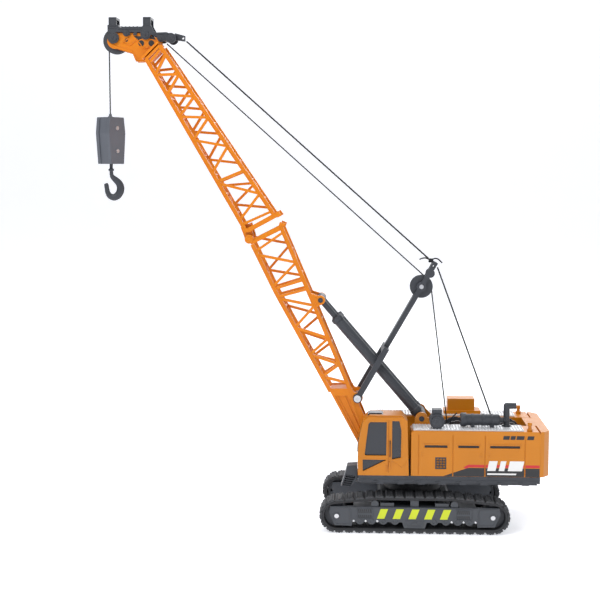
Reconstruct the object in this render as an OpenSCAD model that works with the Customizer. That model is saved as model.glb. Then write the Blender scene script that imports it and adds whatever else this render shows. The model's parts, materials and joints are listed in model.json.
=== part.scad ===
// Toy crawler crane: tracked undercarriage, slewing superstructure, two-part lattice boom,
// telescoping boom strut, mast, two winches, lines and a hook block.
// +X is forward, +Y is the cab side, +Z is up. The origin is on the ground under the slewing axis.

/* [Undercarriage] */
// Distance from the slewing axis to each track wheel axle
wheel_x = 45.2; // [44:0.1:46]
// Outer radius of a track at its ends
track_r = 10.15; // [10:0.05:10.4]
// Height of the top run of a track at its middle
crest_z = 22.8; // [22.4:0.1:23.2]
// Distance from the centre plane to the outer face of a track
track_out = 34.5; // [34:0.1:36]
// Width of a track
track_w = 14; // [13.6:0.1:14.4]
// Half the number of track pads on one track
pads_half = 21; // [17:1:22]

/* [Superstructure] */
// Half width of the superstructure
body_y = 30; // [29.5:0.1:31]
// Half width of the valley between the two housings
valley_y = 12.4; // [12.2:0.1:12.8]
// Height of the platform top
deck_z = 33.4; // [33.2:0.1:33.6]
// Height of the housing tops
house_z = 60; // [59.5:0.1:60.2]
// Height of the cab roof
cab_z = 68.8; // [68:0.1:69.4]

/* [Boom and mast] */
// Half width of both boom sections
boom_y = 10.5; // [10.2:0.05:10.6]
// Width of a boom chord, seen from the side
chord_w = 2.4; // [2:0.1:2.8]
// Width of the lacing between two chords
lace_w = 1.5; // [1.2:0.1:1.8]
// Distance of each strut barrel from the centre plane
strut_y = 6; // [5.9:0.05:6.1]
// Outer radius of a strut barrel
barrel_r = 3.1; // [3:0.05:3.2]
// Radius of a strut rod
rod_r = 1.75; // [1.6:0.05:1.8]

/* [Lines and hook] */
// Radius of the hoist line
hoist_r = 0.4; // [0.3:0.05:0.5]
// Radius of the luffing line
luff_r = 0.5; // [0.4:0.05:0.6]
// Distance from the tip sheave's axle down to the top of the hook block
block_drop = 44.5; // [40:0.5:60]

/* [Hidden] */
$fn = 48;

// Running clearance of a shaft in its bore
run_fit = 0.06;
// Points in the side plane, as [x, z]
slew_z = 28.3;
foot = [26, 43];
strut_base = [-4.5, 63.9];
strut_top = [55.6, 133.7];
mast_foot = [33.5, 75.4];
mast_tip = [-12.4, 155.9];
fold = [97.8, 169.7];
tip = [177, 286];
lug = [137.2, 287.4];
guide = [147.8, 285.2];
hoist_axis = [-26, 51];
luff_axis = [-55.7, 51];

pad_t = 1.2;
band_t = 1.8;
belt_t = pad_t + band_t;
drum_r = track_r - belt_t - 0.3;
groove_tip = 4.4;
groove_mast = 5.8;
drum_core = 4;
// Radii of the pins
foot_pin_r = 1.5;
fold_pin_r = 1.4;
strut_top_r = 1.4;
clevis_pin_r = 1.6;
tip_pin_r = 1.3;
mast_pin_r = 1.2;

// Slope of a track's top run between the crest and the end wheel
crest_x = 22;
crest_d = [wheel_x - crest_x, crest_z - track_r];
crest_a = atan2(crest_d[1], crest_d[0]) - asin(track_r / norm(crest_d));

mast_len = norm(mast_tip - mast_foot);
mast_a = atan2(mast_tip[1] - mast_foot[1], mast_tip[0] - mast_foot[0]);
mast_sheave_u = 75.9;
mast_sheave_at = mast_foot + mast_sheave_u * [cos(mast_a), sin(mast_a)];
strut_len = norm(strut_top - strut_base);
strut_a = atan2(strut_top[1] - strut_base[1], strut_top[0] - strut_base[0]);
drop_x = tip[0] + groove_tip;
block_z = tip[1] - block_drop;

function polar(c, r, a) = c + r * [cos(a), sin(a)];
// Point where a line from target touches a circle, on the side +1 (left of target) or -1
function tangent(c, r, target, side) = let (d = target - c)
    polar(c, r, atan2(d[1], d[0]) + side * acos(r / norm(d)));
function between(p, q, t) = p + (q - p) * t;
function at_y(p, y) = [p[0], y, p[1]];

// An outline in the side plane, made solid from y0 to y1
module slab(y0, y1) {
    translate([0, y1, 0]) rotate([90, 0, 0]) linear_extrude(y1 - y0) children();
}

// The same outline on both sides of the centre plane
module both_slabs(y0, y1) {
    slab(y0, y1) children();
    slab(-y1, -y0) children();
}

// A flat bar between two points of an outline
module bar(p, q, w) {
    translate(p) rotate(atan2(q[1] - p[1], q[0] - p[0])) translate([0, -w / 2]) square([norm(q - p), w]);
}

// A round shaft across the object
module shaft(p, r, y0, y1) {
    translate([p[0], y1, p[1]]) rotate([90, 0, 0]) cylinder(r = r, h = y1 - y0);
}

// A round rod between two points in space
module rod(p, q, r, sides = 24) {
    d = q - p;
    translate(p) rotate([0, acos(d[2] / norm(d)), atan2(d[1], d[0])])
        cylinder(r = r, h = norm(d), $fn = sides);
}

module box(x0, x1, y0, y1, z0, z1) {
    translate([x0, y0, z0]) cube([x1 - x0, y1 - y0, z1 - z0]);
}

// ---------- undercarriage ----------

axle_r = 1.6;
function axle(sx) = [sx * wheel_x, track_r];

// Outline of a track, drawn inward by inset
module track_loop(inset) {
    r = track_r - inset;
    t = [wheel_x + r * sin(crest_a), track_r + r * cos(crest_a)];
    c = [crest_x - inset * tan(crest_a / 2), crest_z - inset];
    for (sx = [-1, 1]) translate(axle(sx)) circle(r = r);
    polygon([[-wheel_x, inset], [wheel_x, inset], t, c, [-c[0], c[1]], [-t[0], t[1]]]);
}

// Place along half a track, from the bottom middle to the top middle, as [x, z, heading]
pad_r = track_r - pad_t;
arc_len = pad_r * (180 - crest_a) * PI / 180;
slope_from = [wheel_x + pad_r * sin(crest_a), track_r + pad_r * cos(crest_a)];
crest_at = [crest_x - pad_t * tan(crest_a / 2), crest_z - pad_t];
slope_len = norm(crest_at - slope_from);
half_len = wheel_x + arc_len + slope_len + crest_at[0];
function on_arc(s) = let (a = s / pad_r * 180 / PI - 90)
    [wheel_x + pad_r * cos(a), track_r + pad_r * sin(a), a + 90];
function on_slope(s) = [slope_from[0] - s * cos(crest_a), slope_from[1] + s * sin(crest_a), 180 - crest_a];
function on_track(s) =
    s < wheel_x ? [s, pad_t, 0]
    : s < wheel_x + arc_len ? on_arc(s - wheel_x)
    : s < wheel_x + arc_len + slope_len ? on_slope(s - wheel_x - arc_len)
    : [half_len - s, crest_at[1], 180];

module track_belt() {
    pitch = half_len / pads_half;
    slab(track_out - track_w, track_out) difference() {
        union() {
            track_loop(pad_t);
            intersection() {
                track_loop(0);
                for (i = [0 : pads_half - 1], sx = [-1, 1]) {
                    p = on_track((i + 0.5) * pitch);
                    translate([sx * p[0], p[1]]) rotate(sx * p[2])
                        translate([-pitch * 0.36, -pad_t]) square([pitch * 0.72, pad_t + 0.5]);
                }
            }
        }
        track_loop(belt_t);
    }
}

frame_y0 = track_out - track_w + 0.4;
frame_y1 = track_out - 0.4;
roller_xs = [-31.7, -24.9, -18.1, -11.3, 11.3, 18.1, 24.9, 31.7];
roller_z = 7.8;
roller_r = 2.5;
frame_top = 15.8;

module frame_outline() {
    difference() {
        union() {
            polygon([[48.8, frame_top], [-48.8, frame_top], [-49.6, 12.2], [-46.4, 4.6], [-36.4, 4.3],
                     [-36, 6.8], [36, 6.8], [36.4, 4.3], [46.4, 4.6], [49.6, 12.2]]);
            for (x = roller_xs) translate([x, roller_z]) circle(r = roller_r);
            // centre step
            polygon([[-7.2, 7], [-6, 3.3], [6, 3.3], [7.2, 7]]);
        }
        for (sx = [-1, 1]) translate(axle(sx)) circle(r = axle_r);
    }
}

module track_frame() {
    slab(frame_y1 - 2.6, frame_y1) frame_outline();
    slab(frame_y0, frame_y0 + 1.6) frame_outline();
    difference() {
        box(-35.5, 35.5, frame_y0 + 1, frame_y1 - 1, 7.2, frame_top);
        for (x = [-24, 0, 24]) box(x - 7, x + 7, frame_y0 + 4, frame_y1 - 5, 7, 13);
    }
    // carriers under the top run
    box(-2.4, 2.4, frame_y0 + 1, frame_y1 - 1.2, frame_top - 0.4, crest_z - belt_t);
    for (x = [-15.8, 15.8]) box(x - 3.9, x + 3.9, frame_y0 + 1, frame_y1 - 1.2, frame_top - 0.4, 17.9);
    for (x = [-23, 23]) shaft([x, 17.2], 2.2, frame_y0 + 2, frame_y1 - 0.8);
}

// A smooth drum that turns on its axle pin inside the belt
module track_wheel(sx) {
    difference() {
        shaft(axle(sx), drum_r, frame_y0 + 1.9, frame_y1 - 2.9);
        shaft(axle(sx), axle_r + run_fit, 0, track_out);
        for (a = [0 : 60 : 300])
            shaft(polar(axle(sx), 4.3, a), 0.9, frame_y0, frame_y0 + 4);
    }
}

module right_side() { mirror([0, 1, 0]) children(); }

module left_track_frame() { color("dimgray") track_frame(); }
module right_track_frame() { color("dimgray") right_side() track_frame(); }
module left_track_belt() { color([0.2, 0.2, 0.22]) track_belt(); }
module right_track_belt() { color([0.2, 0.2, 0.22]) right_side() track_belt(); }
module left_idler() { color("gray") track_wheel(1); }
module right_idler() { color("gray") right_side() track_wheel(1); }
module left_sprocket() { color("gray") track_wheel(-1); }
module right_sprocket() { color("gray") right_side() track_wheel(-1); }

module track_axle_pins() {
    color("silver") for (m = [0, 1], sx = [-1, 1]) mirror([0, m, 0]) {
        shaft(axle(sx), axle_r, frame_y0 + 0.1, frame_y1);
        shaft(axle(sx), axle_r + 0.3, frame_y1, track_out - 0.05);
    }
}

spigot_r = 6;
cap_z = 1.5;

module carbody() {
    color("dimgray") difference() {
        union() {
            slab(-14, 14) polygon([[-21, 9], [-16, 7], [16, 7], [21, 9],
                [21, 18.6], [19.6, 20], [-19.6, 20], [-21, 18.6]]);
            for (x = [-20, 8]) box(x, x + 12, -frame_y0, frame_y0, 9, 18);
            translate([0, 0, 18]) cylinder(r = 17, h = 6);
        }
        translate([0, 0, 13]) cylinder(r = spigot_r + run_fit, h = 12);
        translate([0, 0, 6]) cylinder(r = 9.1, h = 8);
    }
}

module pivot_cap() {
    color("gray") difference() {
        union() {
            translate([0, 0, cap_z]) cylinder(r = 8, h = 4);
            translate([0, 0, 5]) cylinder(r = 9, h = 3.5);
        }
        translate([0, 0, 4]) cylinder(r = 6.4, h = 5);
    }
}

module slew_ring() {
    color("gray") difference() {
        translate([0, 0, 24]) cylinder(r = 19, h = slew_z - 24 - 0.35);
        translate([0, 0, 23]) cylinder(r = spigot_r + 0.6, h = 6);
        for (a = [0 : 15 : 345])
            rotate(a) translate([19.6, 0, 23]) cylinder(r = 1, h = 6);
    }
}

// ---------- superstructure ----------

module platform() {
    color("dimgray") {
        difference() {
            union() {
                box(house_rear, 32.8, -body_y, body_y, slew_z + 1.2, deck_z);
                box(-70.8, 31.4, -body_y + 1.2, body_y - 1.2, slew_z, slew_z + 2);
                translate([0, 0, 13.4]) cylinder(r = spigot_r, h = 16);
                box(20, 31.4, -9.4, 9.4, deck_z - 0.2, 35);
                box(20.6, 29, 16, 26, 27.3, slew_z + 1);
                both_slabs(boom_y + 0.3, valley_y - 0.1) {
                    translate(foot) circle(r = 4.4);
                    polygon([[18, deck_z - 0.5], [32, deck_z - 0.5], [30.3, 43], [21.7, 43]]);
                }
            }
            shaft(foot, foot_pin_r, -20, 20);
            translate([0, 0, 12]) cylinder(r = 1.2, h = 12);
        }
        for (x = [-66 : 12 : 18]) for (y = [-1, 1])
            box(x, x + 4, y > 0 ? body_y - 1 : -body_y, y > 0 ? body_y : 1 - body_y, slew_z, slew_z + 1.4);
    }
}

// Retaining screw of the slewing pivot, with the boom foot pin on the same body
module pivot_screw() {
    color("silver") {
        shaft(foot, foot_pin_r, -valley_y + 0.1, valley_y - 0.1);
        difference() {
            union() {
                translate([0, 0, 12]) cylinder(r = 8, h = 1.4);
                translate([0, 0, 9.8]) cylinder(r = 3, h = 2.3);
                translate([0, 0, 12]) cylinder(r = 1.2, h = 11.5);
            }
            for (a = [0, 90]) rotate(a) box(-1.9, 1.9, -0.35, 0.35, 9.5, 11);
        }
    }
}

// A ladder that faces sideways in front of the cab
module front_steps() {
    color("dimgray") {
        difference() {
            slab(18, 27) polygon([[33.3, 33], [33.3, 38.5], [39.2, 38.1], [40.5, 33.4],
                [42.9, 25.7], [37, 24.7], [32.9, 30.6], [32.9, 33]]);
            slab(23, 28) polygon([[39.7, 32.9], [34.3, 32], [37.4, 26.1], [41.8, 26.6]]);
        }
        for (i = [0.5 : 4.5]) {
            p = between([40.2, 32.9], [42, 26.6], i / 5);
            q = between([33.8, 32], [37, 26.1], i / 5);
            slab(22.9, 26.2) bar(p, q, 0.6);
        }
    }
}

cab_y0 = valley_y + 0.4;
cab_side = [[33, deck_z], [33.2, 43.5], [32.6, 53], [31.2, 60.5], [29.8, 65.6], [27, cab_z - 1],
            [7, cab_z - 1], [4.4, 65.6], [3.4, deck_z]];

module cab_windows() {
    polygon([[26, 65.2], [27.2, 64], [29.4, 45.6], [28.6, 44.9], [16.3, 44.9], [16.1, 65.2]]);
    polygon([[30.5, 43], [16.6, 43], [16.6, 42.2], [29.8, 35.6], [30.4, 36]]);
    polygon([[13.5, 65.9], [8.9, 65.9], [7.6, 60], [7.8, 43.8], [13.5, 42.6]]);
}

module cab_shell() {
    color("orange") {
        difference() {
            union() {
                slab(cab_y0, body_y) polygon(cab_side);
                slab(cab_y0 + 0.8, body_y - 0.8)
                    polygon([[28, cab_z - 1.4], [26, cab_z], [7.6, cab_z], [6, cab_z - 1.4]]);
            }
            slab(cab_y0 + 1.3, body_y - 1.3)
                polygon([[31.6, deck_z - 1], [31.8, 43.5], [31.2, 52.8], [29.9, 60.1],
                [28.6, 64.8], [26.4, 66.4], [7.6, 66.4], [5.6, 64.8], [4.8, deck_z - 1]]);
            slab(body_y - 2, body_y + 1) cab_windows();
            slab(cab_y0 - 1, cab_y0 + 1.5) cab_windows();
            // windscreen, upper and lower panes
            box(28, 36, cab_y0 + 2, body_y - 2, 46, 64);
            box(30, 36, cab_y0 + 2, body_y - 2, 36, 43.6);
            // rear window
            box(2, 6, cab_y0 + 3, body_y - 3, 52, 64);
            box(18.4, 27.4, 17, 26, cab_z - 4, cab_z + 1);
            // door seam
            slab(body_y - 0.35, body_y + 1) bar([15.2, deck_z + 2], [15.2, 66], 0.5);
        }
        box(14.2, 15, body_y - 0.3, body_y + 0.9, 37.4, 41.6);
    }
}

module cab_glazing() {
    color([0.3, 0.33, 0.37]) {
        box(18.4, 27.4, 17, 26, 66.5, cab_z + 0.1);
        box(19.2, 26.6, 17.8, 25.2, cab_z, cab_z + 0.6);
    }
    color([0.3, 0.33, 0.37]) difference() {
        slab(cab_y0 + 1.3, body_y - 1.3) polygon([[31.6, 35], [31.8, 43.5], [31.2, 52.8], [29.9, 60.1],
            [28.6, 64.8], [26.4, 66.4], [7.6, 66.4], [5.6, 64.8], [4.9, 35]]);
        slab(cab_y0 + 2.3, body_y - 2.3) polygon([[30.4, 34], [30.6, 43.5], [30, 52.6], [28.8, 59.8],
            [27.6, 64.2], [26, 65.4], [8, 65.4], [6.6, 64.2], [6, 34]]);
    }
}

grille_at = [-18.2, 37.6];
grille_size = [6.4, 7];
house_rear = -72.3;
panel_seams = [-2.2, -22, -40.5, -63.4];
vent_slots = [[-5.6, -18.8], [-25, -37], [-43.4, -60.5]];

// Cover of one engine side, open below, with its panel seams and slots
module housing(front) {
    difference() {
        slab(valley_y, body_y) polygon([[front, deck_z], [front, house_z - 1.2], [front - 1.2, house_z],
            [house_rear + 1.1, house_z], [house_rear, house_z - 1.2], [house_rear, deck_z]]);
        box(-70.7, front - 1.6, valley_y + 1.6, body_y - 1.6, deck_z - 1, house_z - 1.8);
        slab(body_y - 0.4, body_y + 1) for (x = panel_seams) bar([x, deck_z + 1], [x, house_z - 2.5], 0.5);
        for (s = vent_slots) box(s[1], s[0], body_y - 0.9, body_y + 1, 50.2, 51.6);
        slab(body_y - 0.8, body_y + 1) translate(grille_at) square(grille_size);
    }
}

module left_housing() { color("orange") housing(2.2); }
module right_housing() { color("orange") right_side() housing(26); }

module left_grille() {
    color("dimgray") slab(body_y - 0.8, body_y - 0.1) difference() {
        translate(grille_at) square(grille_size);
        for (i = [0 : 2], k = [0 : 3])
            translate(grille_at + [0.6 + i * 1.8, 0.6 + k * 1.5]) square([1.4, 1.1]);
    }
}

module counterweight() {
    color("orange") difference() {
        translate([0, 0, deck_z]) linear_extrude(house_z - deck_z) polygon([
            [house_rear, body_y], [-74.4, body_y - 0.8], [-77.7, 25], [-77.7, -25], [-74.4, 0.8 - body_y],
            [house_rear, -body_y], [house_rear, -valley_y + 0.3], [-66.5, -valley_y + 0.3],
            [-66.5, valley_y - 0.3], [house_rear, valley_y - 0.3]]);
        for (z = [42, 51]) box(-80, -77.2, -21, 21, z, z + 0.6);
        for (y = [-10, 10]) box(-80, -77, y - 2, y + 2, 54.5, 57);
    }
}

walk_z = house_z + 0.8;
muffler_y = 20;
muffler_z = 65;
exhaust_at = [-53.8, 18];
exhaust_z = 73;
cleaner_at = [-12.8, 65.1];

module left_walkway() {
    color("gainsboro") difference() {
        box(-62.8, 1, valley_y + 1.8, body_y - 1, house_z, walk_z);
        for (x = [-60 : 6 : -6], y = [16 : 4 : 28]) box(x, x + 1.6, y, y + 0.5, house_z + 0.55, house_z + 1);
    }
}

module right_walkway() {
    color("gainsboro") difference() {
        box(-62.8, 22, 1 - body_y, -valley_y - 1.8, house_z, walk_z);
        for (x = [-60 : 6 : 18], y = [-28 : 4 : -16])
            box(x, x + 1.6, y, y + 0.5, house_z + 0.55, house_z + 1);
    }
}

module side_box() {
    color("orange") {
        box(-38.4, -21.8, -27.5, -17.5, walk_z, 70.2);
        box(-42, -19.6, -28.4, -16.6, walk_z, 63);
    }
}

module muffler() {
    color("dimgray") {
        translate([-49, muffler_y, muffler_z]) rotate([0, 90, 0]) cylinder(r = 3.3, h = 20);
        translate([-30, muffler_y, muffler_z]) rotate([0, 90, 0]) cylinder(r = 4, h = 3);
        for (x = [-46, -35]) box(x, x + 2, muffler_y - 2.6, muffler_y + 2.6, walk_z, muffler_z - 1);
    }
}

module exhaust_pipe() {
    color("dimgray") translate([exhaust_at[0], exhaust_at[1], 0]) difference() {
        union() {
            translate([0, 0, walk_z]) cylinder(r = 1.8, h = exhaust_z - walk_z);
            translate([0, 0, exhaust_z]) sphere(r = 1.8);
            translate([-5.4, 0, exhaust_z]) rotate([0, 90, 0]) cylinder(r = 1.8, h = 5.4);
            translate([0, 0, walk_z]) cylinder(r = 2.6, h = 1);
        }
        translate([-6.2, 0, exhaust_z]) rotate([0, 90, 0]) cylinder(r = 1.2, h = 4);
    }
}

module air_cleaner() {
    color("dimgray") {
        shaft(cleaner_at, 4.3, 19, 28);
        shaft(cleaner_at, 3.2, 18.2, 28.8);
        box(-15.6, -10, 20.5, 26.5, 67.6, 71.9);
        box(-15.2, -10.4, 21, 26, walk_z, 62);
    }
}

module strut_clevis() {
    color("orange") both_slabs(valley_y + 0.1, valley_y + 1.7) difference() {
        union() {
            translate(strut_base) circle(r = 3.8);
            polygon([[strut_base[0] - 8.5, house_z], [strut_base[0] + 4.4, house_z],
                     [strut_base[0] + 3.8, 64.2], [strut_base[0] - 3.6, 65]]);
        }
        translate(strut_base) circle(r = clevis_pin_r);
    }
    // lifting lugs on the housing tops
    color("orange") for (y = [27, -25]) translate([-66.2, y, house_z]) {
        cylinder(r = 1.6, h = 1.4);
        cylinder(r = 1, h = 4);
        translate([0, 0, 3.1]) cylinder(r = 1.3, h = 1.9);
    }
}

module clevis_pin() {
    color("darkgray") shaft(strut_base, clevis_pin_r, -valley_y - 1.9, valley_y + 1.9);
}

module winch_brackets() {
    color("dimgray") for (p = [hoist_axis, luff_axis]) both_slabs(8.6, 10.6) difference() {
        union() {
            translate(p) circle(r = 3.6);
            translate([p[0] - 3.6, deck_z]) square([7.2, p[1] - deck_z]);
        }
        translate(p) circle(r = 1.5 + run_fit);
    }
}

// A drum with two finger wheels and its own shaft
module winch(p, wheel_r) {
    difference() {
        union() {
            shaft(p, drum_core, -5.2, 5.2);
            for (y = [-1, 1]) shaft(p, wheel_r, y > 0 ? 5.2 : -6.8, y > 0 ? 6.8 : -5.2);
            shaft(p, 1.5, -10.4, 10.4);
        }
        for (a = [0 : 20 : 340]) shaft(polar(p, wheel_r + 0.4, a), 0.8, -8, 8);
    }
}

module hoist_winch() { color("dimgray") winch(hoist_axis, 10.4); }
module luff_winch() { color("dimgray") winch(luff_axis, 10); }

// ---------- boom ----------

// Thickness of the boom's side plates
side_t = 2.2;

// A bar that follows a chain of points
function heading(points, i) = let (n = len(points) - 1, d = points[min(i + 1, n)] - points[max(i - 1, 0)])
    d / norm(d);
function edge(points, i, w) = let (h = heading(points, i)) points[i] + w * [-h[1], h[0]];
module chord(points) {
    n = len(points) - 1;
    polygon(concat([for (i = [0 : n]) edge(points, i, chord_w / 2)],
                   [for (i = [n : -1 : 0]) edge(points, i, -chord_w / 2)]));
}

// Runs of lacing bars between the two chords. A run is a list of points.
module lacing(runs) {
    for (run = runs, i = [1 : len(run) - 1]) bar(run[i - 1], run[i], lace_w);
}

// Rungs and crossed lacing between the two sides along one chord
module face_lacing(points) {
    y = boom_y - 1;
    for (i = [1 : len(points) - 2]) {
        rod(at_y(points[i], -y), at_y(points[i], y), 0.8);
        rod(at_y(points[i], i % 2 == 0 ? -y : y), at_y(points[i + 1], i % 2 == 0 ? y : -y), 0.65);
    }
}

// Whatever lies between the two side plates
module between_sides() {
    inner = boom_y - side_t;
    intersection() {
        union() children();
        box(0, 200, -inner, inner, 30, 300);
    }
}

lower_front_ends = [[49.6, 79], [96, 166.6]];
lower_bend = [82, 138];
lower_rear_ends = [[37.6, 79.6], [79, 177]];
upper_front_ends = [[99.3, 173.8], [157.6, 274.6]];
upper_rear_ends = [[82.2, 182.6], [149.6, 282.4]];

// Points on the chords of the lower section at a height
function height_on(p, q, z) = between(p, q, (z - p[1]) / (q[1] - p[1]));
function lf(z) = z < lower_bend[1] ? height_on(lower_front_ends[0], lower_bend, z)
    : height_on(lower_bend, lower_front_ends[1], z);
function lr(z) = height_on(lower_rear_ends[0], lower_rear_ends[1], z);
// Points on the chords of the upper section, from 0 at the fold to 1 at the head
function uf(t) = between(upper_front_ends[0], upper_front_ends[1], t);
function ur(t) = between(upper_rear_ends[0], upper_rear_ends[1], t);

module lower_chords() {
    chord([lower_front_ends[0], lower_bend, lower_front_ends[1]]);
    chord(lower_rear_ends);
    bar(lf(140.3), lr(145.7), lace_w);
    bar(lf(135.6), lr(140.3), lace_w);
}

module foot_web() {
    polygon([[50.8, 80.8], [36.6, 81], [30, 66], [22.4, 46], [22, 43], [29.6, 42], [36, 53.4]]);
    translate(foot) circle(r = 4);
}

// One side plate of the lower section, with its eyes
module lower_side() {
    color("orange") difference() {
        union() {
            slab(boom_y - side_t, boom_y) {
                lower_chords();
                children();
                foot_web();
                polygon([[96.6, 166.4], [97.6, 168.9], [79.7, 178], [78, 176.6], [78.6, 175.2]]);
                translate(fold) circle(r = 2.7);
                // ear that carries the strut
                translate(strut_top) circle(r = 2.7);
                polygon([[59.4, 129], [62.2, 138], [56.4, 136.2], [54.2, 131.4]]);
                bar(mast_foot, [40, 78], 5);
            }
            shaft(mast_foot, 3.2, boom_y - side_t, boom_y + 0.2);
        }
        shaft(foot, foot_pin_r + run_fit, 0, 20);
        shaft(fold, fold_pin_r + run_fit, 0, 20);
        shaft(strut_top, strut_top_r, 0, 20);
        shaft(mast_foot, mast_pin_r, 0, 20);
        slab(boom_y - 0.7, boom_y + 1) polygon([[46.8, 76.4], [39, 76.6], [28.6, 50], [33.4, 51.4]]);
    }
}

module boom_lower_left() {
    lower_side() lacing([[lr(173.8), lf(162.5)], [lf(160.5), lr(156), lf(141.7)],
        [lf(134.4), lr(130.4), lf(117.4), lr(111), lf(101.2), lr(95.4), lf(88), lr(84.3)]]);
}

module boom_lower_right() {
    mirror([0, 1, 0]) lower_side() lacing([[lf(170.2), lr(166), lf(150.1), lr(146.6)],
        [lf(128.5), lr(123), lf(112.6), lr(106.4), lf(98), lr(94), lf(87.2)]]);
}

module boom_lower_cross() {
    color("orange") difference() {
        between_sides() {
            slab(-boom_y, boom_y) bar([38, 79.6], [49.6, 79.4], 1.6);
            slab(-boom_y, boom_y) bar([33.4, 68], [27.4, 54], 1.6);
            slab(-boom_y, boom_y) bar([79.8, 176.8], [92.4, 170.4], 1.4);
            face_lacing([for (z = [79 : 12.5 : 155]) lf(z)]);
            face_lacing([for (z = [79.6 : 14 : 178]) lr(z)]);
        }
        shaft(strut_top, 4.4, -20, 20);
    }
}

module strut_top_pin() { color("silver") shaft(strut_top, 1.4, -boom_y - 0.2, boom_y + 0.2); }

module upper_side() {
    color("orange") difference() {
        union() {
            slab(boom_y - side_t, boom_y) chord(upper_front_ends);
            slab(boom_y - side_t, boom_y) chord(upper_rear_ends);
            slab(boom_y - side_t, boom_y)
                polygon([[97.6, 173.9], [100.2, 173.7], [100.9, 175.1], [83.4, 184.8],
                         [81.5, 184.1], [81.8, 182.4]]);
            slab(boom_y - side_t, boom_y)
                lacing([[uf(0.045), ur(0.035)], [uf(0.295), ur(0.275)],
                        [uf(0.975), ur(0.985)], [uf(1), ur(1)]]);
            slab(boom_y - side_t, boom_y) children();
        }
        // shallow gauge mark at the middle of the rear chord
        shaft(ur(0.5), 0.5, boom_y - 0.3, boom_y + 1);
    }
}

module boom_upper_left() {
    upper_side() lacing([[ur(0.95), uf(0.91), ur(0.835), uf(0.795), ur(0.706), uf(0.67), ur(0.583),
        uf(0.535), ur(0.416), uf(0.345)], [uf(0.285), ur(0.138), uf(0.07)]]);
}

module boom_upper_right() {
    mirror([0, 1, 0]) upper_side() lacing([[uf(0.95), ur(0.885), uf(0.86), ur(0.77), uf(0.735), ur(0.64),
        uf(0.59), ur(0.494), uf(0.425), ur(0.317)], [uf(0.27), ur(0.2), uf(0.157), ur(0.05)]]);
}

module boom_upper_cross() {
    eye = side_t + 0.3;
    color("orange") difference() {
        between_sides() {
            both_slabs(boom_y - eye - side_t, boom_y - eye) {
                translate(fold) circle(r = 2.7);
                polygon([[100.6, 170], [103, 176.6], [97.6, 179], [95.2, 171.4]]);
            }
            slab(-boom_y, boom_y) bar([82.8, 183.6], [99, 174.6], 1.4);
            slab(-boom_y, boom_y) bar(uf(1), ur(1), 1.8);
            face_lacing([for (t = [0 : 0.111 : 1]) uf(t)]);
            face_lacing([for (t = [0 : 0.111 : 1]) ur(t)]);
        }
        shaft(fold, fold_pin_r, -20, 20);
    }
}

module head_outline() {
    difference() {
        union() {
            polygon([[180.6, 282.6], [175.6, 281], [166.6, 278.4], [164.8, 273.8], [159.8, 273.9],
                     [150, 283.5], [149.8, 287], [156, 288.6], [157.5, 290.4], [176, 290.4]]);
            translate(tip) circle(r = 4.8);
        }
        translate(tip) circle(r = tip_pin_r);
        translate([170.4, 286.2]) circle(r = 0.9);
        for (x = [155.6, 161.6]) translate([x, 284.4]) circle(r = 1.7);
    }
}

module head_cheeks() {
    color("orange") {
        both_slabs(2.2, 3.8) head_outline();
        slab(-boom_y, boom_y) bar([160.4, 275], [150.6, 284.5], 1.3);
        slab(-3.8, 3.8) bar([167, 279.4], [167.6, 282], 1.2);
    }
}

module head_cover() {
    color("dimgray") {
        difference() {
            union() {
                both_slabs(4.1, 5.2) {
                    polygon([[181.2, 290.8], [181.2, 294.4], [175.6, 294.4], [174.4, 293.4], [161.4, 293.4],
                             [160.4, 294.4], [155.4, 294.4], [153.4, 290.4], [146.4, 290.6], [141, 288.6],
                             [141, 287], [150, 287.2], [156, 289.4], [160, 290.6]]);
                    translate([170.2, 290.4]) circle(r = 2.1);
                    translate([158.8, 289.4]) circle(r = 3);
                    translate([149.6, 287.4]) circle(r = 2.4);
                    translate([178, 287.6]) circle(r = 3.4);
                    translate([143.9, 287.2]) circle(r = 3);
                    for (x = [175.9, 155.6]) translate([x, 294]) square([4.6, 5.4]);
                }
                slab(-5.2, 5.2) bar([172.6, 293.3], [156, 293.3], 1.2);
                slab(-5.2, 5.2) bar([181.2, 294.5], [174.8, 294.5], 1);
                slab(-5.2, 5.2) bar([154, 289.8], [141.2, 288.8], 1.2);
                for (x = [175.9, 155.6]) slab(-5.2, 5.2) translate([x, 298]) square([4.6, 1.4]);
                for (x = [168, 164]) both_slabs(3.8, 5) translate([x, 288.9]) square([2, 3]);
                shaft([guide[0], guide[1] + 1.7], 1.3, -5, 5);
                slab(-1.2, 1.2) polygon([[142, 290.4], [142, 286.4], [136, 285.6], [136, 288.8]]);
            }
            shaft(lug, 0.65, -5, 5);
        }
    }
}

module upper_pins() {
    color("silver") {
        shaft(tip, tip_pin_r, -4.1, 4.1);
        shaft(fold, fold_pin_r, -boom_y - 0.3, boom_y + 0.3);
    }
}

module sheave(p, rim, groove, half) {
    translate([p[0], 0, p[1]]) rotate([90, 0, 0]) rotate_extrude() polygon([
        [tip_pin_r + run_fit, -half], [rim, -half], [rim, -half + 0.5], [groove + 0.1, -0.45],
        [groove + 0.1, 0.45], [rim, half - 0.5], [rim, half], [tip_pin_r + run_fit, half]]);
}

module tip_sheave() {
    color([0.25, 0.25, 0.27]) sheave(tip, 7.6, groove_tip - hoist_r - 0.2, 1.9);
}
module mast_sheave() {
    color([0.25, 0.25, 0.27]) sheave(mast_sheave_at, 6.8, groove_mast - hoist_r - 0.2, 1.9);
}
module mast_sheave_pin() { color("silver") shaft(mast_sheave_at, tip_pin_r, -4, 4); }

// Drawn along its own axis: u runs from the foot to the tip
module in_mast() {
    translate([mast_foot[0], 0, mast_foot[1]]) rotate([0, -mast_a, 0]) children();
}

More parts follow.
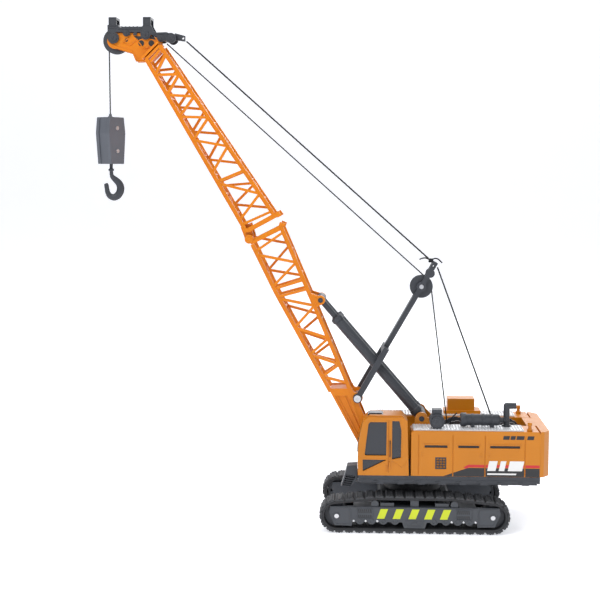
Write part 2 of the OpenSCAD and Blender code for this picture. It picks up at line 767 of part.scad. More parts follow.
leg_y0 = boom_y + 0.5;
leg_y1 = boom_y + 2.5;
crotch_u = 31;
module mast() {
    color("dimgray") in_mast() difference() {
        union() {
            both_slabs(leg_y0, leg_y1) {
                circle(r = 2.7);
                translate([0, -1.7]) square([crotch_u + 3.4, 3.4]);
            }
            slab(-leg_y1, leg_y1) translate([crotch_u, -1.7]) square([3.4, 3.4]);
            slab(-3.6, 3.6) translate([crotch_u, -1.5]) square([mast_sheave_u - 8 - crotch_u, 3]);
            both_slabs(2.2, 3.8) {
                translate([mast_sheave_u - 12, -1.5]) square([mast_len - mast_sheave_u + 12, 3]);
                translate([mast_sheave_u, 0]) circle(r = 2.9);
                translate([mast_sheave_u + 9.5, 0.6]) circle(r = 2.6);
            }
            slab(-3.8, 3.8) translate([mast_len - 8.8, -1.3]) square([8, 2.8]);
        }
        shaft([0, 0], mast_pin_r + run_fit, -20, 20);
        shaft([mast_sheave_u, 0], tip_pin_r, -20, 20);
        shaft([mast_len - 2.6, 0.1], 0.6, -20, 20);
    }
}

module mast_screws() {
    color("silver") for (m = [0, 1]) mirror([0, m, 0]) difference() {
        union() {
            shaft(mast_foot, mast_pin_r, 8.6, leg_y1 + 0.4);
            shaft(mast_foot, 2.1, leg_y1 + 0.1, leg_y1 + 0.9);
        }
        slab(leg_y1 + 0.4, leg_y1 + 2) {
            bar(mast_foot - [1.3, 0], mast_foot + [1.3, 0], 0.5);
            bar(mast_foot - [0, 1.3], mast_foot + [0, 1.3], 0.5);
        }
    }
}

// ---------- strut ----------

module in_strut() {
    translate([strut_base[0], 0, strut_base[1]]) rotate([0, -strut_a, 0]) children();
}

// A cylinder along the strut's axis, from u onward
module tube_at(u, y, r, len) {
    translate([u, y, 0]) rotate([0, 90, 0]) cylinder(r = r, h = len);
}

barrel_len = 78.5;
module strut_barrels() {
    color("dimgray") in_strut() difference() {
        union() {
            for (y = [-strut_y, strut_y]) tube_at(0, y, barrel_r, barrel_len);
            shaft([0, 0], 3.1, -valley_y + 0.4, valley_y - 0.4);
            for (u = [8, 70]) translate([u, -strut_y, -1]) cube([3, 2 * strut_y, 2]);
        }
        shaft([0, 0], clevis_pin_r + run_fit, -20, 20);
        for (y = [-strut_y, strut_y]) tube_at(20, y, barrel_r - 0.5, 80);
    }
}

rod_in = 34;
module strut_rods() {
    color("gray") in_strut() difference() {
        union() {
            for (y = [-strut_y, strut_y]) tube_at(rod_in, y, rod_r, strut_len - rod_in);
            shaft([strut_len, 0], 2.7, -8, 8);
        }
        shaft([strut_len, 0], strut_top_r + run_fit, -20, 20);
    }
}

// ---------- lines ----------

mast_leave = tangent(mast_sheave_at, groove_mast, guide, 1);
mast_arrive = tangent(mast_sheave_at, groove_mast, hoist_axis + [drum_core, 0], -1);
luff_top = mast_tip + [-1.2, -3.2];
knot = mast_tip + [2.8, 0.9];
tip_top = tangent(tip, groove_tip, guide + [0.6, 0.8], -1);

// A stretch of line on the centre plane
module line(p, q, r) { rod(at_y(p, 0), at_y(q, 0), r, 12); }

module hoist_line_rear() { color("darkgray") line(hoist_axis + [4.6, 0], mast_arrive, hoist_r); }
module hoist_line_front() { color("darkgray") line(mast_leave, guide - [0.8, 0.8], hoist_r); }
module hoist_line_head() { color("darkgray") line(guide + [0.4, 0], tip_top, hoist_r); }
module luff_line_rear() { color("dimgray") line(luff_axis + [4.7, 1], luff_top, luff_r); }
module pendant_line() { color("dimgray") line(knot + [1.3, 1.1], lug - [1.9, 1.7], luff_r); }
module line_knot() { color("dimgray") translate(at_y(knot, 0)) sphere(r = 1.6); }
module drop_line() { color("darkgray") rod([drop_x, 0, block_z - 0.4], [drop_x, 0, tip[1]], hoist_r, 12); }

// ---------- hook block ----------

block_len = 27.6;
block_wide = 9.4;
block_pin_r = 1.2;
block_pins = [6.5, 20];
shank_r = 1.45;

// Outline of the block, seen square to its cheeks
module block_outline(grow) {
    half = [[5.4 + grow, block_z - block_len], [7 + grow, block_z - block_wide], [5.8 + grow, block_z]];
    polygon(concat(half, [for (i = [2 : -1 : 0]) [-half[i][0], half[i][1]]]));
}

module at_drop() { translate([drop_x, 0, 0]) rotate([0, 0, 60]) children(); }

module hook_block_core() {
    color("dimgray") at_drop() difference() {
        slab(-3.2, 3.2) difference() {
            block_outline(-0.6);
            for (z = block_pins) translate([0, block_z - z]) circle(r = block_pin_r);
        }
        translate([0, 0, block_z - 3]) cylinder(r = 1.2, h = 4);
        translate([0, 0, block_z - 30]) cylinder(r = shank_r + run_fit, h = 5);
    }
}

module hook_block_cheeks() {
    color("gray") at_drop() both_slabs(3.2, 5.3) difference() {
        block_outline(0.2);
        for (z = block_pins) translate([0, block_z - z]) circle(r = block_pin_r);
    }
}

module hook_block_pins() {
    color("silver") at_drop() for (z = block_pins) shaft([0, block_z - z], block_pin_r, -5.6, 5.6);
}

module hook() {
    bowl = [-2.1, block_z - 44.6];
    color("gray") translate([drop_x, 0, 0]) {
        slab(-1.6, 1.6) difference() {
            union() {
                translate(bowl) circle(r = 6.4);
                translate([0, bowl[1]]) {
                    polygon([[-1.4, 5], [-shank_r, 12], [shank_r, 12], [1.3, 9], [-0.6, 4]]);
                    polygon([[1.6, -2], [4.2, -1.4], [5.2, 5.2], [2.6, 5.6]]);
                }
            }
            translate(bowl + [0.4, 0.5]) circle(r = 3);
            polygon([bowl + [-0.4, 3], bowl + [2, 8], bowl + [4.6, 8],
                     bowl + [4.3, 2.6], bowl + [3.2, 0.6]]);
        }
        translate([0, 0, bowl[1] + 8]) cylinder(r = shank_r, h = 11.4);
        translate([0, 0, bowl[1] + 11]) cylinder(r = 2.2, h = 1.2);
    }
}

carbody();
pivot_cap();
slew_ring();
left_track_frame();
right_track_frame();
left_track_belt();
right_track_belt();
track_axle_pins();
left_idler();
right_idler();
left_sprocket();
right_sprocket();
platform();
pivot_screw();
front_steps();
cab_shell();
cab_glazing();
left_housing();
right_housing();
counterweight();
left_walkway();
right_walkway();
side_box();
muffler();
exhaust_pipe();
air_cleaner();
strut_clevis();
clevis_pin();
winch_brackets();
left_grille();
hoist_winch();
luff_winch();
boom_lower_left();
boom_lower_right();
boom_lower_cross();
mast_screws();
strut_top_pin();
strut_barrels();
strut_rods();
boom_upper_left();
boom_upper_right();
boom_upper_cross();
head_cheeks();
head_cover();
upper_pins();
tip_sheave();
mast();
mast_sheave_pin();
mast_sheave();
hoist_line_rear();
hoist_line_front();
hoist_line_head();
luff_line_rear();
pendant_line();
line_knot();
drop_line();
hook_block_core();
hook_block_cheeks();
hook_block_pins();
hook();
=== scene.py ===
"""Looks of the toy crawler crane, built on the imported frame. Lengths are in metres; small sizes use MM."""
import json
import math
from math import cos, pi, radians, sin

import bmesh
import bpy
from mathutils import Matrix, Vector


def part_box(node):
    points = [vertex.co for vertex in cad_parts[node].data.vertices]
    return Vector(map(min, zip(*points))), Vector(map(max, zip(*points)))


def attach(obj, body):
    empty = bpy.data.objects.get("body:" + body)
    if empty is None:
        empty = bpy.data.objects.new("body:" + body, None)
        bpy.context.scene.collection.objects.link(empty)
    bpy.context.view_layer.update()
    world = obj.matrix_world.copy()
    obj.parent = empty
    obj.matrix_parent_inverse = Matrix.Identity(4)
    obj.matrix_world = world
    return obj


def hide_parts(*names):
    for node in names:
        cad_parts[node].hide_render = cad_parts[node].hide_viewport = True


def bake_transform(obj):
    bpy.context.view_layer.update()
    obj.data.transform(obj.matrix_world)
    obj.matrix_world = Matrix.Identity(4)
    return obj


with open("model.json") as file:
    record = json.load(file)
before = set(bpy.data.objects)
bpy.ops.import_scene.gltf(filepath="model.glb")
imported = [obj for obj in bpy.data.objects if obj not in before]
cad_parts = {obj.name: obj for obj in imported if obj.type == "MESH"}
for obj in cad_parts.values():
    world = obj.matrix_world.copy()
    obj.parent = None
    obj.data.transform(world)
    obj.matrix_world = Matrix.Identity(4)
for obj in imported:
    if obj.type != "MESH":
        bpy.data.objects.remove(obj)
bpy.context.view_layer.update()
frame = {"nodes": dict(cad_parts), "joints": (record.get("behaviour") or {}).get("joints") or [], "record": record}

MM = 0.001
nodes = frame["nodes"]
joints = {j["name"]: j for j in frame["joints"]}
scene = bpy.context.scene


def pivot(joint):
    """Where a hinge's axis crosses the centre plane."""
    x, _, z = joints[joint]["pos_m"]
    return Vector((x, 0, z))


def mm(points):
    """Points given in millimetres, as metres."""
    return [tuple(v * MM for v in point) for point in points]


def band(way, near, far):
    """Low and high y between two distances from the centre plane, on one side (way is 1 or -1)."""
    return sorted((way * near, way * far))


# ---------- camera, light, floor ----------

CAMERA_AZIMUTH, CAMERA_ELEVATION = 183, 6
CAMERA_PLACE = (0.0308, 0.7155, 0.2080)
LENS, SENSOR = 72, 36
AIM = (0.04, 0, 0.12)
# name, place, size, power
LIGHTS = [
    ("key", (0.55, 0.75, 0.85), (0.55, 0.55), 6.6),
    ("fill", (-0.65, 0.75, 0.40), (0.6, 0.5), 1.9),
    ("top", (0.0, -0.05, 1.0), (0.8, 0.8), 4.4),
    ("rim", (-0.3, -0.8, 0.55), (0.8, 0.4), 3),
]
SKY, SKY_STRENGTH, FLOOR_GLOW = (0.93, 0.95, 1, 1), 0.24, 0.50
FLOOR_HALF, FLOOR_NEAR, BACKDROP_TOP = 4, 3.0, 3.0
FLOOR_DROP = 0.05 * MM
BEND_Y, BEND_R = -1.0, 0.6


def make_camera():
    azimuth, elevation = radians(CAMERA_AZIMUTH), radians(CAMERA_ELEVATION)
    back = Vector((sin(azimuth) * cos(elevation), -cos(azimuth) * cos(elevation), sin(elevation)))
    camera = bpy.data.objects.new("camera", bpy.data.cameras.new("camera"))
    camera.data.lens = LENS
    camera.data.sensor_width = SENSOR
    camera.data.clip_start = 0.01
    camera.location = CAMERA_PLACE
    camera.rotation_mode = "QUATERNION"
    camera.rotation_quaternion = (-back).to_track_quat("-Z", "Y")
    scene.collection.objects.link(camera)
    scene.camera = camera


def area_light(name, place, size, power):
    data = bpy.data.lights.new(name, "AREA")
    data.shape = "RECTANGLE"
    data.size, data.size_y = size
    data.energy = power
    light = bpy.data.objects.new(name, data)
    light.location = place
    light.rotation_mode = "QUATERNION"
    light.rotation_quaternion = (Vector(AIM) - Vector(place)).to_track_quat("-Z", "Y")
    scene.collection.objects.link(light)


def make_studio():
    for row in LIGHTS:
        area_light(*row)
    world = bpy.data.worlds.new("studio")
    world.use_nodes = True
    world.node_tree.nodes["Background"].inputs["Color"].default_value = SKY
    world.node_tree.nodes["Background"].inputs["Strength"].default_value = SKY_STRENGTH
    scene.world = world
    scene.view_settings.view_transform = "Standard"
    mesh = bpy.data.meshes.new("floor")
    # a floor that sweeps up into a backdrop on the far side
    profile = [(FLOOR_NEAR, 0), (BEND_Y, 0)]
    profile += [(BEND_Y - BEND_R * sin(a),
                 BEND_R - BEND_R * cos(a)) for a in [radians(9 * i) for i in range(1, 11)]]
    profile += [(BEND_Y - BEND_R, BACKDROP_TOP)]
    verts = [(x, y, z - FLOOR_DROP) for x in (-FLOOR_HALF, FLOOR_HALF) for y, z in profile]
    n = len(profile)
    mesh.from_pydata(verts, [], [(i, i + 1, n + i + 1, n + i) for i in range(n - 1)])
    for polygon in mesh.polygons:
        polygon.use_smooth = True
    floor = bpy.data.objects.new("floor", mesh)
    scene.collection.objects.link(floor)
    paper = surface("floor_paper", (0.86, 0.86, 0.87), 0.75, grain=900, bump=0.02, tint=0.01)
    glow = paper.node_tree.nodes["Principled BSDF"]
    glow.inputs["Emission Color"].default_value = SKY
    glow.inputs["Emission Strength"].default_value = FLOOR_GLOW
    mesh.materials.append(paper)


# ---------- materials ----------

def surface(name, colour, rough, metal=0.0, grain=2500, bump=0.05, tint=0.06, patch=45, coat=0.0,
            scatter=0.0, streak=None, shine=0.5):
    """A surface with slow colour drift, fine grain in its bump and uneven gloss.
    streak = (x, y, z) stretches the grain, for brushed or drawn metal."""
    mat = bpy.data.materials.new(name)
    mat.use_nodes = True
    tree = mat.node_tree
    shader = tree.nodes["Principled BSDF"]
    shader.inputs["Metallic"].default_value = metal
    shader.inputs["Specular IOR Level"].default_value = shine
    shader.inputs["Coat Weight"].default_value = coat
    shader.inputs["Coat Roughness"].default_value = 0.18
    if scatter:
        shader.inputs["Subsurface Weight"].default_value = scatter
        shader.inputs["Subsurface Radius"].default_value = (0.6, 0.25, 0.08)
        shader.inputs["Subsurface Scale"].default_value = 0.0015
    place = tree.nodes.new("ShaderNodeTexCoord")
    vector = place.outputs["Object"]
    if streak:
        stretch = tree.nodes.new("ShaderNodeMapping")
        stretch.inputs["Scale"].default_value = streak
        tree.links.new(vector, stretch.inputs["Vector"])
        vector = stretch.outputs["Vector"]

    def noise(scale, detail):
        node = tree.nodes.new("ShaderNodeTexNoise")
        node.inputs["Scale"].default_value = scale
        node.inputs["Detail"].default_value = detail
        tree.links.new(vector, node.inputs["Vector"])
        return node.outputs["Fac"]

    drift = tree.nodes.new("ShaderNodeValToRGB")
    low, high = drift.color_ramp.elements
    low.position, high.position = 0.3, 0.7
    low.color = (*[c * (1 - tint) for c in colour], 1)
    high.color = (*[min(1, c * (1 + tint)) for c in colour], 1)
    tree.links.new(noise(patch, 5), drift.inputs["Fac"])
    tree.links.new(drift.outputs["Color"], shader.inputs["Base Color"])
    gloss = tree.nodes.new("ShaderNodeMapRange")
    gloss.inputs["To Min"].default_value = max(0.03, rough - 0.07)
    gloss.inputs["To Max"].default_value = min(1, rough + 0.07)
    tree.links.new(noise(patch * 4, 6), gloss.inputs["Value"])
    tree.links.new(gloss.outputs["Result"], shader.inputs["Roughness"])
    relief = tree.nodes.new("ShaderNodeBump")
    relief.inputs["Strength"].default_value = bump
    relief.inputs["Distance"].default_value = 0.0002
    tree.links.new(noise(grain, 3), relief.inputs["Height"])
    tree.links.new(relief.outputs["Normal"], shader.inputs["Normal"])
    return mat


ORANGE = surface("orange_paint", (0.56, 0.190, 0.006), 0.36, bump=0.10, grain=1800, tint=0.05, coat=0.12,
                 shine=0.34)
BOOM = surface("orange_plastic", (0.72, 0.215, 0.004), 0.38, bump=0.12, grain=2600, tint=0.05, scatter=0.12,
               shine=0.34)
DARK = surface("dark_grey_paint", (0.050, 0.056, 0.067), 0.42, bump=0.16, grain=2200, tint=0.10, coat=0.15)
PLASTIC = surface("dark_grey_plastic", (0.036, 0.040, 0.049), 0.46, bump=0.20, grain=3200, tint=0.10)
BLACK = surface("black_plastic", (0.018, 0.019, 0.021), 0.5, bump=0.15, grain=3000, tint=0.15)
GREY = surface("mid_grey_plastic", (0.105, 0.114, 0.134), 0.42, bump=0.15, grain=2800, tint=0.08)
RUBBER = surface("belt_rubber", (0.020, 0.021, 0.024), 0.66, bump=0.45, grain=2400, tint=0.18, patch=120)
STEEL = surface("bright_steel", (0.62, 0.63, 0.65), 0.28, metal=1.0, bump=0.10, grain=2600, tint=0.06,
                streak=(1, 0.15, 1))
GLASS = surface("smoked_glazing", (0.012, 0.015, 0.024), 0.16, bump=0.02, grain=600, tint=0.12, coat=0.25)
PLATE = surface("silver_paint", (0.66, 0.67, 0.69), 0.38, metal=0.35, bump=0.14, grain=2400, tint=0.05)
# belt pads: the belt rubber made lighter, painted light on the raised pads
PAD_PAINTED_LIGHT = surface("belt_pad_rubber_painted_light", (0.045, 0.047, 0.052), 0.6, bump=0.45, grain=2400, tint=0.18, patch=120)
CORD = surface("cord_fibre", (0.014, 0.015, 0.018), 0.78, bump=0.5, grain=9000, tint=0.22, patch=600)
HAZARD = surface("hazard_green", (0.60, 0.68, 0.02), 0.40, bump=0.06, grain=2400, tint=0.05)
RED = surface("red_print", (0.55, 0.020, 0.022), 0.38, bump=0.05, grain=2400, tint=0.05)
PRINT = surface("black_print", (0.016, 0.016, 0.018), 0.34, bump=0.05, grain=2400, tint=0.08)
WHITE = surface("white_print", (0.78, 0.78, 0.77), 0.40, bump=0.05, grain=2400, tint=0.03)

BY_SLOT = {
    "die_cast_orange": ORANGE, "boom_orange": BOOM, "dark_casting": DARK, "dark_plastic": PLASTIC,
    "grey_plastic": GREY, "belt_rubber": RUBBER, "steel": STEEL, "glazing": GLASS,
    "checker_plate": PLATE, "cord_grey": CORD,
}
BY_NODE = {"carbody": BLACK, "slew_ring": BLACK, "pivot_cap": BLACK, "platform": PLASTIC,
           "front_steps": PLASTIC,
           # the axle pins take dark paint in place of their steel: painted shade on their inner ends, which lie in
           # the tracks' shade
           "track_axle_pins": DARK}
SHARP = {"hoist_line_rear", "hoist_line_front", "hoist_line_head", "luff_line_rear", "pendant_line",
         "drop_line"}

WELD = 0.002 * MM
EDGE_ANGLE = radians(32)


def soften(piece, width=0.18 * MM, segments=2):
    """Rounds a piece's sharp edges a little, as on a casting or moulding."""
    weld = piece.modifiers.new("weld", "WELD")
    weld.merge_threshold = WELD
    bevel = piece.modifiers.new("soft_edges", "BEVEL")
    bevel.width = width
    bevel.segments = segments
    bevel.limit_method = "ANGLE"
    bevel.angle_limit = EDGE_ANGLE
    bevel.use_clamp_overlap = True
    bevel.harden_normals = True


def dress_cad():
    for row in frame["record"]["subparts"]:
        node = nodes[row["node"]]
        node.data.materials.clear()
        node.data.materials.append(BY_NODE.get(row["node"], BY_SLOT[row["material_slot"]]))
        if row["node"] not in SHARP:
            soften(node)


# ---------- mesh building ----------

class Builder:
    """Collects shapes into one piece."""

    def __init__(self):
        self.bm = bmesh.new()

    def loops(self, rings, closed=True, caps=True, endless=False):
        """Joins rings of points into a skin. closed: each ring is a closed loop.
        endless: the last ring joins the first."""
        rows = [[self.bm.verts.new(p) for p in ring] for ring in rings]
        if endless:
            rows.append(rows[0])
            caps = False
        n = len(rows[0])
        last = n if closed else n - 1
        for a, b in zip(rows, rows[1:]):
            for i in range(last):
                self.bm.faces.new((a[i], a[(i + 1) % n], b[(i + 1) % n], b[i]))
        if caps and closed:
            self.bm.faces.new(list(reversed(rows[0])))
            self.bm.faces.new(rows[-1])
        return self

    def prism(self, outline, y0, y1):
        """An outline of (x, z) points made solid from y0 to y1."""
        return self.loops([[(x, y0, z) for x, z in outline], [(x, y1, z) for x, z in outline]])

    def plan(self, outline, z0, z1):
        """An outline of (x, y) points made solid from z0 to z1."""
        return self.loops([[(x, y, z0) for x, y in outline], [(x, y, z1) for x, y in outline]])

    def box(self, low, high):
        (x0, y0, z0), (x1, y1, z1) = low, high
        return self.plan([(x0, y0), (x1, y0), (x1, y1), (x0, y1)], z0, z1)

    def turned(self, centre, axis, profile, sides=32):
        """A turned shape: profile holds (distance along axis, radius)."""
        axis = Vector(axis).normalized()
        across = axis.orthogonal().normalized()
        other = axis.cross(across)
        rings = []
        for along, radius in profile:
            middle = Vector(centre) + axis * along
            rings.append([middle + radius * (across * cos(a) + other * sin(a))
                          for a in [2 * pi * i / sides for i in range(sides)]])
        return self.loops(rings)

    def tube(self, points, radius, sides=10):
        """A round tube through points."""
        points = [Vector(p) for p in points]
        side = None
        rings = []
        for i, p in enumerate(points):
            along = (points[min(i + 1, len(points) - 1)] - points[max(i - 1, 0)]).normalized()
            side = (along.orthogonal() if side is None else side - along * side.dot(along)).normalized()
            other = along.cross(side)
            rings.append([p + radius * (side * cos(a) + other * sin(a))
                          for a in [2 * pi * k / sides for k in range(sides)]])
        return self.loops(rings)

    def piece(self, name, material, body, soft=0.0, smooth=False):
        bmesh.ops.recalc_face_normals(self.bm, faces=self.bm.faces[:])
        mesh = bpy.data.meshes.new(name)
        self.bm.to_mesh(mesh)
        self.bm.free()
        mesh.materials.append(material)
        for polygon in mesh.polygons:
            polygon.use_smooth = smooth
        made = bpy.data.objects.new(name, mesh)
        scene.collection.objects.link(made)
        if soft:
            soften(made, soft)
        if body:
            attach(made, body)
        return made


def arc(centre, radius, start, stop, steps):
    """Points (x, z) along an arc, in degrees."""
    return [(centre[0] + radius * cos(a), centre[1] + radius * sin(a))
            for a in [radians(start + (stop - start) * i / steps) for i in range(steps + 1)]]


def grown(points, by):
    """A convex outline of (x, z) points moved outward by a distance, inward when negative."""
    n = len(points)
    area = sum(points[i][0] * points[(i + 1) % n][1] - points[(i + 1) % n][0] * points[i][1]
               for i in range(n))
    way = 1 if area > 0 else -1
    lines = []
    for i in range(n):
        (x0, z0), (x1, z1) = points[i], points[(i + 1) % n]
        size = math.hypot(x1 - x0, z1 - z0)
        nx, nz = way * (z1 - z0) / size, -way * (x1 - x0) / size
        lines.append((nx, nz, nx * x0 + nz * z0 + by))
    corners = []
    for i in range(n):
        a, b, c = lines[i - 1]
        d, e, f = lines[i]
        det = a * e - b * d
        corners.append(((c * e - b * f) / det, (a * f - c * d) / det))
    return corners


# ---------- undercarriage ----------

WHEEL = pivot("left_drive")
WHEEL_X, WHEEL_R = abs(WHEEL.x), WHEEL.z
CREST_X = 22 * MM
CREST_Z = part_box("left_track_belt")[1].z
PADS = 42
PAD_TRIM = 0.9 * MM
ROLLERS_X = (-31.7, -24.9, -18.1, -11.3, 11.3, 18.1, 24.9, 31.7)
ROLLER_Z = 7.2
STRIPES, STRIPE_X, STRIPE_PITCH = 5, 17.4, 9.1
SIDES = {"left": 1, "right": -1}


class BeltPath:
    """Half of a track's outline, from the bottom middle to the top middle, inset inside its skin."""

    def __init__(self, inset):
        dx, dz = WHEEL_X - CREST_X, CREST_Z - WHEEL_R
        self.tilt = math.atan2(dz, dx) - math.asin(WHEEL_R / math.hypot(dx, dz))
        self.r = WHEEL_R - inset
        self.bottom = inset
        self.crest = (CREST_X - inset * math.tan(self.tilt / 2), CREST_Z - inset)
        self.top_of_wheel = (WHEEL_X + self.r * sin(self.tilt), WHEEL_R + self.r * cos(self.tilt))
        self.arc = self.r * (pi - self.tilt)
        self.slope = math.dist(self.crest, self.top_of_wheel)
        self.length = WHEEL_X + self.arc + self.slope + self.crest[0]

    def at(self, s):
        """(x, z, heading) at distance s; s below 0 is the other half."""
        if s < 0:
            x, z, heading = self.at(-s)
            return -x, z, -heading
        if s < WHEEL_X:
            return s, self.bottom, 0
        s -= WHEEL_X
        if s < self.arc:
            a = s / self.r - pi / 2
            return WHEEL_X + self.r * cos(a), WHEEL_R + self.r * sin(a), a + pi / 2
        s -= self.arc
        if s < self.slope:
            x, z = self.top_of_wheel
            return x - s * cos(self.tilt), z + s * sin(self.tilt), pi - self.tilt
        return self.crest[0] - (s - self.slope), self.crest[1], pi


def held_in(x, z):
    """Keeps a belt point inside the track's own outline."""
    if abs(x) > WHEEL_X:
        cx = math.copysign(WHEEL_X, x)
        far = math.hypot(x - cx, z - WHEEL_R)
        if far > WHEEL_R:
            x, z = cx + (x - cx) * WHEEL_R / far, WHEEL_R + (z - WHEEL_R) * WHEEL_R / far
    return x, min(max(z, 0), CREST_Z)


def make_belt(side):
    """A rubber belt with a moulded pad and two bars at each link."""
    low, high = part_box(f"{side}_track_belt")
    y0, y1 = low.y, high.y
    skin = BeltPath(0)
    b = Builder()
    # the band, with rounded edges and a groove between pads
    section = [(1.3, y0 + 0.5 * MM), (1.3, y1 - 0.5 * MM), (1.7, y1), (2.7, y1), (3.0, y1 - 0.3 * MM),
               (3.0, y0 + 0.3 * MM), (2.7, y0), (1.7, y0)]
    steps = 8 * PADS
    rings = []
    for i in range(steps):
        x, z, heading = skin.at((i / steps * 2 - 1) * skin.length)
        rings.append([held_in_ring(x, z, heading, 0, -inset * MM, y) for inset, y in section])
    b.loops(rings, endless=True)
    band = b.piece(f"{side}_belt_band", RUBBER, "undercarriage", smooth=False)
    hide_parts(f"{side}_track_belt")
    # the pads
    b = Builder()
    pitch = 2 * skin.length / PADS
    plate = [(-0.40, -1.6), (0.40, -1.6), (0.40, -0.75), (0.34, -0.50), (-0.34, -0.50), (-0.40, -0.75)]
    bars = [[(-0.33, -0.7), (-0.21, -0.7), (-0.24, 0), (-0.30, 0)],
            [(0.17, -0.7), (0.29, -0.7), (0.26, 0), (0.20, 0)]]
    for i in range(PADS):
        x, z, heading = skin.at((i + 0.5) / PADS * 2 * skin.length - skin.length)
        for outline, trim in [(plate, 0)] + [(bar, PAD_TRIM) for bar in bars]:
            b.loops([[held_in_ring(x, z, heading, t * pitch, out * MM, y) for t, out in outline]
                     for y in (y0 + trim, y1 - trim)])
        # end horns on each pad
        for y in (y0, y1 - PAD_TRIM):
            horn = [(-0.12, -0.9), (0.10, -0.9), (0.06, -0.15), (-0.08, -0.15)]
            b.loops([[held_in_ring(x, z, heading, t * pitch, out * MM, yy) for t, out in horn]
                     for yy in (y, y + PAD_TRIM)])
    # the pads take the lighter rubber: painted light
    b.piece(f"{side}_belt_pads", PAD_PAINTED_LIGHT, "undercarriage", soft=0.08 * MM)


def held_in_ring(x, z, heading, t, out, y):
    """A point beside a place on the belt: t along it, out away from it."""
    px = x + t * cos(heading) + out * sin(heading)
    pz = z + t * sin(heading) - out * cos(heading)
    px, pz = held_in(px, pz)
    return px, y, pz


FRAME_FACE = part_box("left_track_frame")[1].y
BELT_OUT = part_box("left_track_belt")[1].y


def frame_of(b, outline, width, y0, y1):
    """A rim that follows a convex outline (millimetres) inside it, in the y range."""
    inner = grown(outline, -width)
    n = len(outline)
    for i in range(n):
        j = (i + 1) % n
        quad = [outline[i], outline[j], inner[j], inner[i]]
        b.prism(mm(quad), y0, y1)


def make_frame_dress(side):
    """Roller hubs, vents with their slots drawn as painted shade, a raised rim, warning stripes and bolts on a
    track frame's outer face.
    """
    way = SIDES[side]
    face = FRAME_FACE

    def y_pair(depth, height):
        """Low and high y of something that stands height above the face and reaches depth into it."""
        return band(way, face - depth, face + height)

    b = Builder()
    for x in ROLLERS_X:
        b.turned((x * MM, way * (face - 0.1 * MM), ROLLER_Z * MM), (0, way, 0),
                 mm([(0, 1.5), (0.3, 1.5), (0.4, 1.35), (0.4, 0.9), (0.2, 0.8), (0.2, 0.01)]), 20)
    y0, y1 = y_pair(0.2 * MM, 0.3 * MM)
    for sx in (-1, 1):
        vent = [(24.0, 8.6), (33.4, 8.6), (33.4, 14.9), (24.0, 14.9)]
        frame_of(b, [(sx * x, z) for x, z in vent], 0.35, y0, y1)
    # centre step
    frame_of(b, [(-4.6, 4.0), (4.6, 4.0), (5.6, 7.8), (-5.6, 7.8)], 0.7, y0, y1)
    b.prism(mm([(-2.2, 5.0), (2.2, 5.0), (1.2, 6.6), (-1.2, 6.6)]), y0, y1)
    # raised plates round the end axles
    for sx in (-1, 1):
        plate = [(36.8, 4.8), (46.0, 5.0), (49.0, 12.0), (48.2, 15.3), (38.4, 15.3), (36.8, 13.6)]
        frame_of(b, [(sx * x, z) for x, z in plate], 0.6, y0, y1)
    # a long rim under the top edge
    b.prism(mm([(-36, 15.1), (36, 15.1), (36, 15.6), (-36, 15.6)]), y0, y1)
    b.piece(f"{side}_frame_relief", DARK, "undercarriage", soft=0.06 * MM)
    b = Builder()
    for sx in (-1, 1):
        for x in (35.3, 28.3, 21.5):
            b.turned((sx * x * MM, way * (face - 0.1 * MM), 7.3 * MM), (0, way, 0),
                     mm([(0, 0.62), (0.3, 0.62), (0.45, 0.4), (0.48, 0.01)]), 14)
        # bright end of the axle pin
        b.turned((sx * WHEEL_X, way * (BELT_OUT - 0.25 * MM), WHEEL_R), (0, way, 0),
                 mm([(0, 1.5), (0.15, 1.5), (0.24, 1.2), (0.25, 0.01)]), 24)
    b.piece(f"{side}_frame_bolts", STEEL, "undercarriage", smooth=False)
    # two rows of short slanted vent slots, drawn as black marks: painted shade inside the slots
    b = Builder()
    y0, y1 = y_pair(0.1 * MM, 0.07 * MM)
    for sx in (-1, 1):
        for k in range(7):
            x = sx * (24.9 + 1.15 * k) * MM
            for z0, z1, lean in ((12.0, 14.3, 0.3), (9.1, 11.0, 0.2)):
                b.prism([(x, z0 * MM), (x + 0.6 * MM, z0 * MM), (x + (0.6 + lean) * MM, z1 * MM),
                         (x + lean * MM, z1 * MM)],
                        y0, y1)
    b.piece(f"{side}_frame_vent_shade", BLACK, "undercarriage")
    # warning stripes
    b = Builder()
    y0, y1 = y_pair(0.1 * MM, 0.06 * MM)
    for k in range(STRIPES):
        x = (STRIPE_X - STRIPE_PITCH * k) * MM
        b.prism([(x - 2.1 * MM, 14.6 * MM), (x + 2.2 * MM, 14.6 * MM), (x + 4.4 * MM, 8.8 * MM),
                 (x + 0.1 * MM, 8.8 * MM)], y0, y1)
    b.piece(f"{side}_frame_stripes", HAZARD, "undercarriage")


# ---------- lines ----------

def rope(name, points, radius, strands=3, pitch=2.6 * MM):
    """A laid line: strands twisted round each other, along straight stretches between points."""
    sides = strands * 4
    path = []
    for p, q in zip(points, points[1:]):
        p, q = Vector(p), Vector(q)
        n = max(1, round((q - p).length / (pitch / 6)))
        path += [p.lerp(q, i / n) for i in range(n)]
    path.append(Vector(points[-1]))
    b = Builder()
    rings, gone, side = [], 0, None
    for i, p in enumerate(path):
        along = (path[min(i + 1, len(path) - 1)] - path[max(i - 1, 0)]).normalized()
        side = (along.orthogonal() if side is None else side - along * side.dot(along)).normalized()
        other = along.cross(side)
        gone += (p - path[i - 1]).length if i else 0
        twist = gone / pitch * 2 * pi / strands
        ring = []
        for k in range(sides):
            a = 2 * pi * k / sides
            r = radius * (0.80 + 0.20 * abs(cos(strands / 2 * (a - twist))))
            ring.append(p + r * (side * cos(a) + other * sin(a)))
        rings.append(ring)
    b.loops(rings)
    return b.piece(name, CORD, None, smooth=True)


